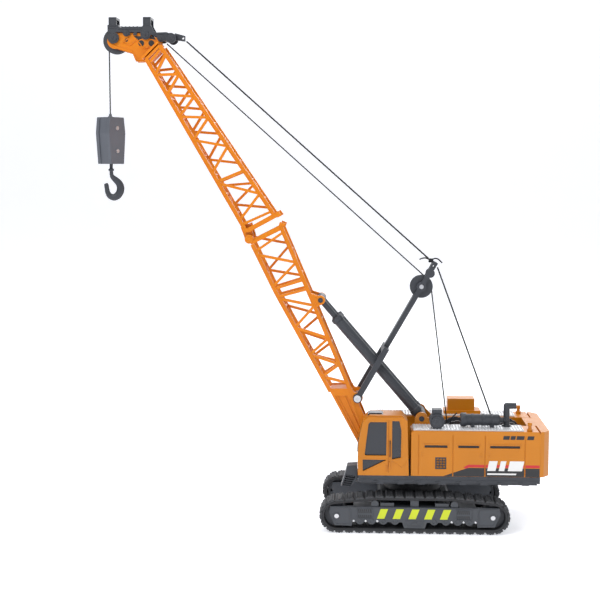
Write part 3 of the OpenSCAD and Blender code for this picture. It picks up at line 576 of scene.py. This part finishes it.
def straight(node, radius):
    """End points of a straight line's axis, low end first, from its box."""
    low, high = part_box(node)
    run, rise = high.x - low.x, high.z - low.z
    a = math.atan2(rise, run)
    for _ in range(20):
        a = math.atan2(rise - 2 * radius * cos(a), run - 2 * radius * sin(a))
    inset = Vector((radius * sin(a), 0, radius * cos(a)))
    return Vector((low.x, 0, low.z)) + inset, Vector((high.x, 0, high.z)) - inset


HOIST_R, HOIST_LAY = 0.4 * MM, 2.2 * MM
LUFF_R, LUFF_LAY = 0.5 * MM, 3.0 * MM
HOIST_COIL_R, HOIST_COIL_HALF, HOIST_COIL_PITCH = 4.4 * MM, 4.7 * MM, 0.82 * MM
LUFF_COIL_R, LUFF_COIL_HALF, LUFF_COIL_PITCH = 4.5 * MM, 4.6 * MM, 1.02 * MM
COIL_STEPS = 28
# node, piece, radius, lay, and the bodies at its two ends
LINES = [
    ("hoist_line_rear", "hoist_rope_rear", HOIST_R, HOIST_LAY, "superstructure", "mast_arm"),
    ("hoist_line_front", "hoist_rope_front", HOIST_R, HOIST_LAY, "mast_arm", "upper_boom"),
    ("luff_line_rear", "luff_rope_rear", LUFF_R, LUFF_LAY, "superstructure", "mast_arm"),
    ("pendant_line", "pendant_rope", LUFF_R, LUFF_LAY, "mast_arm", "upper_boom"),
]


def two_part(name, a, b, radius, pitch):
    """A line across two joints, made as two straight halves that meet in the middle."""
    middle = (a + b) / 2
    first = rope(f"{name}_a", [a, middle], radius, pitch=pitch)
    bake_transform(first)
    second = rope(f"{name}_b", [middle, b], radius, pitch=pitch)
    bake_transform(second)
    return first


def make_lines():
    for node, name, radius, lay, first_body, last_body in LINES:
        a, b = straight(node, radius)
        piece = two_part(name, a, b, radius, lay)
        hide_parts(node)
    # over the mast sheave
    centre = pivot("mast_sheave_turn")
    arrive = straight("hoist_line_rear", HOIST_R)[1]
    leave = straight("hoist_line_front", HOIST_R)[0]
    a0 = math.degrees(math.atan2(arrive.z - centre.z, arrive.x - centre.x)) % 360
    a1 = math.degrees(math.atan2(leave.z - centre.z, leave.x - centre.x)) % 360
    radius = (leave - centre).length
    wrap = rope("hoist_rope_mast_wrap", [(x, 0, z) for x, z in arc((centre.x, centre.z), radius, a0, a1, 14)],
                HOIST_R, pitch=HOIST_LAY)
    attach(wrap, "mast_arm")
    # through the head and over the tip sheave
    centre = pivot("tip_sheave_turn")
    first, last = straight("hoist_line_head", HOIST_R)
    drop_low, drop_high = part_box("drop_line")
    drop_x = (drop_low.x + drop_high.x) / 2
    groove = drop_x - centre.x
    a0 = math.degrees(math.atan2(last.z - centre.z, last.x - centre.x))
    head = [first, last] + [(x, 0, z) for x, z in arc((centre.x, centre.z), groove, a0, 0, 10)][1:]
    piece = rope("hoist_rope_head", head, HOIST_R, pitch=HOIST_LAY)
    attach(piece, "upper_boom")
    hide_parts("hoist_line_head")
    # down to the hook block
    top, end = Vector((drop_x, 0, centre.z)), Vector((drop_x, 0, drop_low.z))
    piece = rope("hoist_rope_drop", [top, end], HOIST_R, pitch=HOIST_LAY)
    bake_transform(piece)
    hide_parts("drop_line")


def make_winding(name, joint, body, radius, core, half_width, pitch):
    """Turns of line wound side by side on a drum."""
    centre = pivot(joint)
    turns = int(2 * half_width / pitch)
    points = []
    for i in range(turns * COIL_STEPS + 1):
        a = 2 * pi * i / COIL_STEPS
        points.append((centre.x + core * cos(a), -half_width + pitch * i / COIL_STEPS,
                       centre.z + core * sin(a)))
    b = Builder()
    b.tube(points, radius, 8)
    b.piece(name, CORD, body, smooth=True)


def make_knot():
    """The luffing line's knot at the mast tip, with its two loose ends."""
    low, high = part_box("line_knot")
    centre = (low + high) / 2
    size = (high.x - low.x) / 2 - LUFF_R
    loop = []
    for i in range(61):
        t = 2 * pi * i / 60
        loop.append(centre + Vector(((sin(t) + 2 * sin(2 * t)) / 3 * size,
                                     (cos(t) - 2 * cos(2 * t)) / 3 * size,
                                     -sin(3 * t) * size * 0.8)))
    knot = rope("knot_turns", loop, LUFF_R * 0.95)
    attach(knot, "mast_arm")
    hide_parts("line_knot")
    loose = [(-21.6 - 3.4 * t + 1.5 * sin(pi * t), 13.6 + 2.5 * t,
              60.4 + 7.6 * t) for t in [i / 8 for i in range(9)]]
    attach(rope("loose_line_end", [(x * MM, y * MM, z * MM) for x, y, z in loose], LUFF_R * 0.8),
            "superstructure")
    for k, (dx, dz) in enumerate([(6.5, 0.6), (-6.6, -1.4)]):
        tail = []
        for i in range(13):
            t = i / 12
            tail.append(centre + Vector((dx * t * MM, (0.7 + 1.6 * sin(pi * t)) * (1 if k else -1) * MM,
                                         (dz * t + 2.0 * sin(pi * t) * (1 if k else 0.5)) * MM)))
        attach(rope(f"knot_tail_{k + 1}", tail, LUFF_R * 0.9), "mast_arm")


# ---------- superstructure ----------

HOUSE_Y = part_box("left_housing")[1].y
HOUSE_X0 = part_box("left_housing")[0].x
DECK_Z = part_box("left_housing")[0].z
PLATFORM_Y = 30 * MM
NUBS = 9
SLOTS = [(-5.6, -18.8), (-25.0, -37.0), (-43.4, -60.5)]
SLOT_Z = (50.2, 51.6)
HINGES_X, HINGES_Z = (-4.4, -38.0, -42.8), (44.6, 46.2)
BAND_START = -30.8
DOOR_SEAMS = (-40.5, -63.4)
SEAM_HALF = 0.35
BADGE_HEIGHT = 0.11 * MM
MUFFLER = (20, 65)
AIR_CLEANER = (-12.8, 65.1)


def skin(b, outline, way, depth=0.06 * MM, height=0.05 * MM, face=None):
    """A thin printed or raised area on a housing's outer face. The outline is in millimetres, x and z."""
    face = HOUSE_Y if face is None else face
    ys = band(way, face - depth, face + height)
    b.prism(mm(outline), *ys)


def make_prints():
    """The dark band, the red stripe and a plain white badge, on both sides."""
    rear = HOUSE_X0 / MM + 0.4
    base = DECK_Z / MM + 0.15
    top = base + 5.0
    for side, way in SIDES.items():
        black, red, white = Builder(), Builder(), Builder()
        spans = [(BAND_START, DOOR_SEAMS[0] + SEAM_HALF),
                 (DOOR_SEAMS[0] - SEAM_HALF, DOOR_SEAMS[1] + SEAM_HALF), (DOOR_SEAMS[1] - SEAM_HALF, rear)]
        skin(black, [(-16.6, base), (-21.7, base), (-21.7, base + 1.85)], way)
        skin(black, [(-22.3, base), (BAND_START, base), (BAND_START, top), (-22.3, base + 2.05)], way)
        skin(red, [(-28.0, top + 0.35), (-30.9, top + 1.95), (DOOR_SEAMS[0] + SEAM_HALF, top + 1.95),
                   (DOOR_SEAMS[0] + SEAM_HALF, top + 0.35)], way)
        skin(red, [(-28.0, top + 0.35), (BAND_START, top + 0.35), (BAND_START, top), (-29.6, top - 0.45)],
             way)
        for x1, x0 in spans:
            skin(black, [(x1, base), (x0, base), (x0, top), (x1, top)], way)
            if x1 != BAND_START:
                skin(red, [(x1, top + 0.35), (x0, top + 0.35), (x0, top + 1.95), (x1, top + 1.95)], way)
        # badge: plain slanted bars with a thin bar under them
        for x, w in [(-41.8, 4.8), (-48.4, 3.2), (-53.6, 8.2)]:
            skin(white, [(x, top - 1.6), (x - w, top - 1.6), (x - w - 1.2, top + 4.2), (x - 1.2, top + 4.2)],
                 way,
                 height=BADGE_HEIGHT)
        skin(white, [(-41.8, base + 1.1), (-58.4, base + 1.1), (-58.6, base + 2.0), (-42.0, base + 2.0)], way,
             height=BADGE_HEIGHT)
        for x1, x0 in [(-50.6, -54.2), (-54.8, -57.6), (-58.2, -62.6), (-64.4, -68.2)]:
            skin(black, [(x1, 55.4), (x0, 55.4), (x0 - 0.4, 57.6), (x1 - 0.4, 57.6)], way)
        black.piece(f"{side}_band_print", PRINT, "superstructure")
        red.piece(f"{side}_stripe_print", RED, "superstructure")
        white.piece(f"{side}_badge_print", WHITE, "superstructure")


def make_house_details():
    """Shadows inside the slots, rain lips over them, and hinge marks, on both sides."""
    low, high = SLOT_Z
    for side, way in SIDES.items():
        dark, orange = Builder(), Builder()
        for x1, x0 in SLOTS:
            ys = band(way, HOUSE_Y - 0.9 * MM, HOUSE_Y - 0.55 * MM)
            dark.prism(mm([(x0, low), (x1, low), (x1, high), (x0, high)]), *ys)
            skin(orange, [(x0 - 0.8, 51.9), (x1 + 0.8, 51.9), (x1 + 0.8, 52.5), (x0 - 0.8, 52.5)], way,
                 depth=0.1 * MM, height=0.32 * MM)
        for x in HINGES_X:
            for z in HINGES_Z:
                skin(orange, [(x - 0.7, z), (x + 0.7, z), (x + 0.7, z + 1.0), (x - 0.7, z + 1.0)], way,
                     depth=0.1 * MM, height=0.16 * MM)
        dark.piece(f"{side}_slot_shadow", BLACK, "superstructure")
        orange.piece(f"{side}_panel_relief", ORANGE, "superstructure", soft=0.06 * MM)


def make_treads():
    """Raised diamonds of the tread plate on the two walkways."""
    for side in SIDES:
        low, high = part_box(f"{side}_walkway")
        b = Builder()
        nx = int((high.x - low.x) / (1.7 * MM))
        ny = int((high.y - low.y) / (1.5 * MM))
        for i in range(nx):
            for j in range(ny):
                x = low.x + (i + 0.5) * (high.x - low.x) / nx
                y = low.y + (j + 0.5) * (high.y - low.y) / ny
                a = radians(45 if (i + j) % 2 else -45)
                along, across = 0.78 * MM, 0.24 * MM
                base = [(along, 0), (0, across), (-along, 0), (0, -across)]
                ring = [(x + p * cos(a) - q * sin(a), y + p * sin(a) + q * cos(a)) for p, q in base]
                top = [(x + 0.55 * (px - x), y + 0.55 * (py - y)) for px, py in ring]
                b.loops([[(*p, high.z - 0.05 * MM) for p in ring], [(*p, high.z + 0.24 * MM) for p in top]])
        b.piece(f"{side}_tread_diamonds", PLATE, "superstructure")


def make_cab_details():
    """Window seals, door latch and relief lines, a grab rail and a wiper."""
    panes = [
        [(26, 65.2), (27.2, 64), (29.4, 45.6), (28.6, 44.9), (16.3, 44.9), (16.1, 65.2)],
        [(30.5, 43), (16.6, 43), (16.6, 42.2), (29.8, 35.6), (30.4, 36)],
        [(13.5, 65.9), (8.9, 65.9), (7.6, 60), (7.8, 43.8), (13.5, 42.6)],
    ]
    seal = Builder()
    for pane in panes:
        outer, inner = grown(pane, 0.45), grown(pane, -0.25)
        n = len(pane)
        for i in range(n):
            j = (i + 1) % n
            quad = [outer[i], outer[j], inner[j], inner[i]]
            seal.prism(mm(quad), HOUSE_Y - 1.0 * MM, HOUSE_Y + 0.12 * MM)
    seal.piece("cab_window_seals", ORANGE, "superstructure", soft=0.05 * MM)
    latch = Builder()
    frame_of(latch, [(15.7, 35.8), (16.9, 35.8), (16.9, 39.6), (15.7, 39.6)], 0.3,
             HOUSE_Y - 0.1 * MM, HOUSE_Y + 0.22 * MM)
    latch.prism(mm([(14.6, 43.0), (7.6, 38.6), (7.6, 38.2), (14.6, 42.6)]),
                HOUSE_Y - 0.1 * MM, HOUSE_Y + 0.2 * MM)
    latch.prism(mm([(7.9, 38.5), (4.6, 41.6), (4.6, 41.2), (7.9, 38.1)]),
                HOUSE_Y - 0.1 * MM, HOUSE_Y + 0.2 * MM)
    latch.piece("cab_door_latch", ORANGE, "superstructure", soft=0.05 * MM)
    rail = Builder()
    y = HOUSE_Y + 1.3 * MM
    x = 14.4 * MM
    rail.tube([(x, HOUSE_Y - 0.2 * MM, 54 * MM), (x, y - 0.3 * MM, 54 * MM), (x, y, 53.4 * MM),
               (x, y, 45.4 * MM),
               (x, y - 0.3 * MM, 44.8 * MM), (x, HOUSE_Y - 0.2 * MM, 44.8 * MM)], 0.28 * MM, 10)
    rail.piece("cab_grab_rail", BLACK, "superstructure", smooth=True)
    wiper = Builder()
    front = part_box("cab_shell")[1].x
    wiper.tube([(front + 0.1 * MM, 20 * MM, 45.2 * MM), (front - 0.3 * MM, 22.5 * MM, 54 * MM)], 0.2 * MM, 8)
    wiper.piece("cab_wiper", BLACK, "superstructure", smooth=True)


# ---------- head, hook and strut ----------

DROP_X = (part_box("drop_line")[0].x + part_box("drop_line")[1].x) / 2
HEAD_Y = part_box("head_cover")[1].y
TOWERS_X = (175.9, 155.6)
BARREL_Y, BARREL_R = 6, 3.08
HOOK_SIDES, HOOK_STEPS = 24, 4
# the collar has corners; the bowl after it is a smooth curve
COLLAR_POINTS = 5
COLLAR_RINGS = COLLAR_POINTS * HOOK_STEPS


def disc(b, x, z, y, way, radius, height, sides=24, bolt=0.0):
    """A low turned boss with a chamfered rim on a side face, with an optional bolt head. Millimetres."""
    b.turned((x * MM, way * (y - 0.1 * MM), z * MM), (0, way, 0),
             [(0, radius * MM), ((height - 0.1) * MM, radius * MM), (height * MM, (radius - 0.2) * MM),
              (height * MM, 0.01 * MM)], sides)
    if bolt:
        b.turned((x * MM, way * (y + (height - 0.2) * MM), z * MM), (0, way, 0),
                 [(0, bolt * MM), (0.35 * MM, bolt * MM), (0.5 * MM, bolt * 0.75 * MM),
                  (0.5 * MM, 0.01 * MM)], 6)


def make_head_details():
    b = Builder()
    for way in (1, -1):
        for x, z, radius, bolt in [(178, 287.6, 2.3, 0.8), (170.2, 290.4, 1.5, 0.5), (158.8, 289.4, 2.1, 0.7),
                                   (149.6, 287.4, 1.6, 0.5), (143.9, 287.2, 2.1, 0.9)]:
            disc(b, x, z, HEAD_Y, way, radius, 0.5, bolt=bolt)
        ys = band(way, HEAD_Y - 0.1 * MM, HEAD_Y + 0.35 * MM)
        for x in TOWERS_X:
            frame_of(b, [(x + 0.1, 294.4), (x + 4.5, 294.4), (x + 4.5, 299.2), (x + 0.1, 299.2)], 0.6, *ys)
        # stiffening rib along the cover
        for x1, z1, x0, z0 in [(175.2, 292.9, 161.0, 292.9), (181.0, 293.6, 176.0, 293.6),
                               (153.6, 289.9, 145.0, 290.0)]:
            b.prism([(x0 * MM, z0 * MM), (x1 * MM, z1 * MM), (x1 * MM, (z1 - 0.5) * MM),
                     (x0 * MM, (z0 - 0.5) * MM)], *ys)
    # cross ribs on the roof between the two towers
    for k in range(5):
        x = (163.4 + 2.3 * k) * MM
        b.box((x, -4.4 * MM, 293.7 * MM), (x + 0.7 * MM, 4.4 * MM, 294.2 * MM))
    # louvred caps of the towers
    for x in TOWERS_X:
        for k in range(3):
            y = (-3.4 + 2.6 * k) * MM
            b.box(((x + 0.6) * MM, y, 299.2 * MM), ((x + 4.0) * MM, y + 1.6 * MM, 299.38 * MM))
    b.piece("head_cover_relief", PLASTIC, "upper_boom", soft=0.07 * MM)
    # rims on the two cheeks
    b = Builder()
    edge = [(180.2, 283.4), (175.6, 281.5), (166.9, 278.9), (165.0, 274.5), (160.2, 274.6), (151.2, 283.2)]
    for way in (1, -1):
        ys = band(way, 3.7 * MM, 4.3 * MM)
        for (x0, z0), (x1, z1) in zip(edge, edge[1:]):
            size = math.hypot(x1 - x0, z1 - z0)
            nx, nz = (z1 - z0) / size * 0.9, -(x1 - x0) / size * 0.9
            b.prism([(x0 * MM, z0 * MM), (x1 * MM, z1 * MM), ((x1 + nx) * MM, (z1 + nz) * MM),
                     ((x0 + nx) * MM, (z0 + nz) * MM)], *ys)
        wave = [(168.8, 287.6), (172.6, 284.6), (168.0, 283.2), (164.0, 286.6), (160.4, 281.4),
                (156.4, 282.0)]
        b.tube([(x * MM, way * 3.9 * MM, z * MM) for x, z in wave], 0.4 * MM, 8)
    b.piece("head_cheek_ribs", BOOM, "upper_boom", soft=0.06 * MM)
    # painted shade: black discs in the cheek holes and a black sheet in the recessed web, where these hollows lie
    # in shade
    b = Builder()
    for way in (1, -1):
        ys = band(way, 2.2 * MM, 3.86 * MM)
        for x, z, radius in [(170.4, 286.2, 0.95), (155.6, 284.4, 1.75), (161.6, 284.4, 1.75)]:
            b.turned((x * MM, ys[0], z * MM), (0, 1, 0), [(0, radius * MM), (ys[1] - ys[0], radius * MM)], 24)
        b.prism(mm([(153, 286.2), (159, 287.6), (163.6, 286.2), (166, 288.6), (154, 288.4)]),
                *band(way, 3.0 * MM, 3.86 * MM))
    b.piece("head_cheek_hole_shade", BLACK, "upper_boom")


def make_hook():
    """A forged-look hook with a swelling back and a blunt tip, and its swivel collar."""
    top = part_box("hook_block_core")[0].z
    # x, z and half width, in millimetres
    path = [(0, 1.0, 1.0), (0, -2.6, 1.0), (0, -3.0, 1.7), (0, -3.9, 1.7), (0, -4.3, 1.05),
            (-0.1, -6.2, 1.15),
            (-0.9, -7.9, 1.5), (-2.9, -9.7, 1.9), (-4.7, -11.7, 2.15), (-5.5, -14.2, 2.3), (-5.0, -16.8, 2.3),
            (-3.4, -19.0, 2.2), (-1.1, -19.9, 2.0), (1.1, -19.0, 1.75), (2.3, -17.0, 1.55), (2.8, -14.6, 1.4),
            (3.1, -12.6, 1.35), (3.5, -11.6, 1.1)]
    fine = []
    for i in range(len(path) - 1):
        p0, p1, p2, p3 = [Vector(path[min(max(k, 0), len(path) - 1)]) for k in (i - 1, i, i + 1, i + 2)]
        for k in range(HOOK_STEPS):
            t = k / HOOK_STEPS
            if i < COLLAR_POINTS:
                fine.append(p1.lerp(p2, t))
                continue
            fine.append(0.5 * (2 * p1 + (p2 - p0) * t + (2 * p0 - 5 * p1 + 4 * p2 - p3) * t * t
                               + (3 * p1 - p0 - 3 * p2 + p3) * t ** 3))
    fine.append(Vector(path[-1]))
    rings = []
    for i, (x, z, half) in enumerate(fine):
        back, ahead = fine[max(i - 1, 0)], fine[min(i + 1, len(fine) - 1)]
        run = Vector((ahead[0] - back[0], 0, ahead[1] - back[1]))
        run = run.normalized() if run.length > 1e-6 and i > COLLAR_RINGS else Vector((0, 0, -1))
        side = Vector((-run.z, 0, run.x))
        deep = min(half, 1.6) if i > COLLAR_RINGS else half
        rings.append([Vector((DROP_X, 0, top)) + (Vector((x, 0, z)) + side * half * cos(a)
                      + Vector((0, deep * sin(a), 0))) * MM
                      for a in [2 * pi * k / HOOK_SIDES for k in range(HOOK_SIDES)]])
    b = Builder()
    b.loops(rings)
    hook = b.piece("cast_hook", PLASTIC, "swivel_hook", smooth=True)
    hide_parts("hook")


def make_block_details():
    """Rope socket on top of the hook block."""
    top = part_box("hook_block_core")[1].z
    b = Builder()
    b.turned((DROP_X, 0, top - 0.6 * MM), (0, 0, 1),
             mm([(0, 1.5), (0.9, 1.5), (1.3, 1.1), (2.6, 0.75), (2.7, 0.45)]), 20)
    b.piece("rope_socket", GREY, "hook_block", soft=0.08 * MM)


def make_strut_details():
    """Ridges and end collars on the two strut barrels."""
    base, end = pivot("strut_swing"), pivot("strut_top_pivot")
    along = (end - base).normalized()
    up = Vector((-along.z, 0, along.x))
    b = Builder()
    for y in (-BARREL_Y, BARREL_Y):
        line = [base + Vector((0, y * MM, 0)) + along * u * MM for u in (6, 76)]
        for turn in (62, 118, 90, 20, 160):
            a = radians(turn)
            out = (up * sin(a) + Vector((0, cos(a), 0))) * BARREL_R * MM
            b.tube([p + out for p in line], 0.2 * MM, 8)
        for u in (3.5, 75.4):
            b.turned(base + Vector((0, y * MM, 0)) + along * u * MM, along,
                     mm([(0, 3.0), (0, 3.45), (0.3, 3.6), (2.6, 3.6), (2.9, 3.4), (2.9, 2.75)]), 32)
    b.piece("strut_ridges", PLASTIC, "strut_barrel", smooth=False)


def make_deck_details():
    """Muffler straps, air cleaner bolts, gear between the housings, and nubs on the platform edges."""
    b = Builder()
    for x in (-45.4, -40.5, -34.4):
        b.turned((x * MM, MUFFLER[0] * MM, MUFFLER[1] * MM), (1, 0, 0),
                 mm([(0, 3.2), (0, 3.55), (1.1, 3.55), (1.1, 3.2)]), 32)
    b.turned((-49 * MM, MUFFLER[0] * MM, MUFFLER[1] * MM), (-1, 0, 0),
             mm([(-0.1, 3.0), (0.6, 2.6), (0.8, 1.7), (2.6, 1.6), (2.6, 0.01)]), 28)
    for k in range(8):
        a = 2 * pi * k / 8
        b.turned((-27 * MM, (MUFFLER[0] + 3.1 * cos(a)) * MM, (MUFFLER[1] + 3.1 * sin(a)) * MM), (1, 0, 0),
                 mm([(-0.1, 0.45), (0.3, 0.45), (0.3, 0.01)]), 6)
    b.tube(mm([(-51.4, 20, 65), (-52.6, 19.5, 65), (-53.6, 18.4, 64.4)]), 1.4 * MM, 16)
    disc(b, *AIR_CLEANER, 28.8 * MM, 1, 2.2, 0.4, 12, 0.8)
    for k in range(12):
        a = 2 * pi * k / 12
        disc(b, AIR_CLEANER[0] + 3.7 * cos(a), AIR_CLEANER[1] + 3.7 * sin(a), 28 * MM, 1, 0.5, 0.3, 8)
    b.piece("engine_fittings", PLASTIC, "superstructure", soft=0.05 * MM)
    # gear between the two housings
    b = Builder()
    b.box(*mm([(-50, -7.6, 33.3), (-32, 7.6, 38.5)]))
    for k in range(7):
        x = (-49 + 2.4 * k) * MM
        b.box((x, -7.9 * MM, 33.4 * MM), (x + 0.9 * MM, 7.9 * MM, 39.1 * MM))
    b.box(*mm([(-12, -9, 33.3), (-2, 9, 41)]))
    for y in (-6, 0, 6):
        b.turned((-7 * MM, y * MM, 40.9 * MM), (0, 0, 1),
                 mm([(0, 2.2), (2.2, 2.2), (2.8, 1.6), (4.0, 1.5), (4.0, 0.01)]), 20)
        b.tube([(-7 * MM, y * MM, 44.6 * MM), (-7 * MM, y * MM, 46.2 * MM), (-9 * MM, y * MM, 47.6 * MM),
                (-12.4 * MM, y * 1.2 * MM, 46.6 * MM), (-14 * MM, y * 1.35 * MM, 42 * MM),
                (-14.6 * MM, y * 1.35 * MM, 33.4 * MM)],
               0.8 * MM, 12)
    b.piece("valley_machinery", BLACK, "superstructure", soft=0.08 * MM)
    # nubs along both platform edges
    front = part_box("platform")[1].x
    b = Builder()
    for way in (1, -1):
        y = PLATFORM_Y
        for k in range(NUBS):
            x = (-68 + 12 * k) * MM
            ys = band(way, y - 0.2 * MM, y + 0.35 * MM)
            b.prism([(x, 32.4 * MM), (x + 1.6 * MM, 32.4 * MM), (x + 1.3 * MM, 33.2 * MM),
                     (x + 0.3 * MM, 33.2 * MM)], *ys)
            if x + 8.4 * MM < front:
                b.prism([(x + 5 * MM, 29.6 * MM), (x + 8.4 * MM, 29.6 * MM),
                         (x + 8 * MM, 30.3 * MM), (x + 5.4 * MM, 30.3 * MM)], *ys)
        ys = band(way, y - 0.2 * MM, y + 0.18 * MM)
        b.prism(mm([(-72, 30.9), (32, 30.9), (32, 31.3), (-72, 31.3)]), *ys)
    b.piece("platform_edge_nubs", PLASTIC, "superstructure", soft=0.06 * MM)


# chord centre lines, as pairs of (x, z) points in millimetres
LOWER_CHORDS = [((49.6, 79), (82, 138)), ((82, 138), (95.4, 165.4)), ((37.6, 79.6), (79, 177))]
UPPER_CHORDS = [((100.4, 175.7), (157.2, 274)), ((83.2, 184.1), (149, 281.5))]


def make_boom_details():
    """Boss rings at the eyes, raised ribs on the foot, latch halves beside the fold and ribs along the chords."""
    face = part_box("boom_upper_left")[1].y
    lower, upper = Builder(), Builder()
    fold, foot, top = [pivot(j) / MM for j in ("boom_fold", "boom_luff", "strut_top_pivot")]
    for way in (1, -1):
        for x, z, radius in [(fold.x, fold.z, 2.6), (top.x, top.z, 2.6), (foot.x, foot.z, 3.4)]:
            lower.turned((x * MM, way * (face - 0.1 * MM), z * MM), (0, way, 0),
                     [(0, radius * MM), (0.4 * MM, radius * MM), (0.5 * MM, (radius - 0.15) * MM),
                      (0.5 * MM, 1.75 * MM), (0.1 * MM, 1.7 * MM)], 32)
        ys = band(way, face - 0.8 * MM, face + 0.05 * MM)
        for p, q in [((45.6, 77.4), (31.6, 50.6)), ((41.2, 77.4), (29.2, 50.4))]:
            nx, nz = 0.40, -0.22
            lower.prism([(p[0] * MM, p[1] * MM), (q[0] * MM, q[1] * MM), ((q[0] + nx) * MM, (q[1] + nz) * MM),
                         ((p[0] + nx) * MM, (p[1] + nz) * MM)], *ys)
        # latch halves beside the fold joint
        ys = band(way, face - 1.8 * MM, face - 0.2 * MM)
        lower.prism(mm([(77.6, 176.4), (80.4, 177.6), (79.6, 180.0), (76.6, 178.8)]), *ys)
        upper.prism(mm([(80.8, 182.4), (83.4, 184.6), (80.6, 186.4), (78.6, 183.8)]), *ys)
        lower.turned((fold.x * MM, way * (face - 0.1 * MM), fold.z * MM), (0, way, 0),
                     mm([(0, 1.75), (0.45, 1.7), (0.7, 1.3), (0.75, 0.01)]), 24)
        # ribs along both edges of each chord
        ys = band(way, face - 0.2 * MM, face + 0.3 * MM)
        for b, chords in ((lower, LOWER_CHORDS), (upper, UPPER_CHORDS)):
            for (x0, z0), (x1, z1) in chords:
                size = math.hypot(x1 - x0, z1 - z0)
                nx, nz = (z1 - z0) / size, -(x1 - x0) / size
                for near, far in ((0.72, 1.12), (-1.12, -0.72)):
                    b.prism([((x + nx * w) * MM, (z + nz * w) * MM) for x, z, w in
                             ((x0, z0, near), (x1, z1, near), (x1, z1, far), (x0, z0, far))], *ys)
    lower.piece("lower_boom_bosses", BOOM, "lower_boom", soft=0.05 * MM)
    upper.piece("upper_boom_latch", BOOM, "upper_boom", soft=0.05 * MM)


make_camera()
make_studio()
dress_cad()
for name in SIDES:
    make_belt(name)
    make_frame_dress(name)
make_lines()
make_winding("hoist_winding", "hoist_winch_turn", "hoist_drum", HOIST_R, HOIST_COIL_R, HOIST_COIL_HALF,
             HOIST_COIL_PITCH)
make_winding("luff_winding", "luff_winch_turn", "luff_drum", LUFF_R, LUFF_COIL_R, LUFF_COIL_HALF,
             LUFF_COIL_PITCH)
make_knot()
make_prints()
make_house_details()
make_treads()
make_cab_details()
make_head_details()
make_hook()
make_block_details()
make_strut_details()
make_deck_details()
make_boom_details()
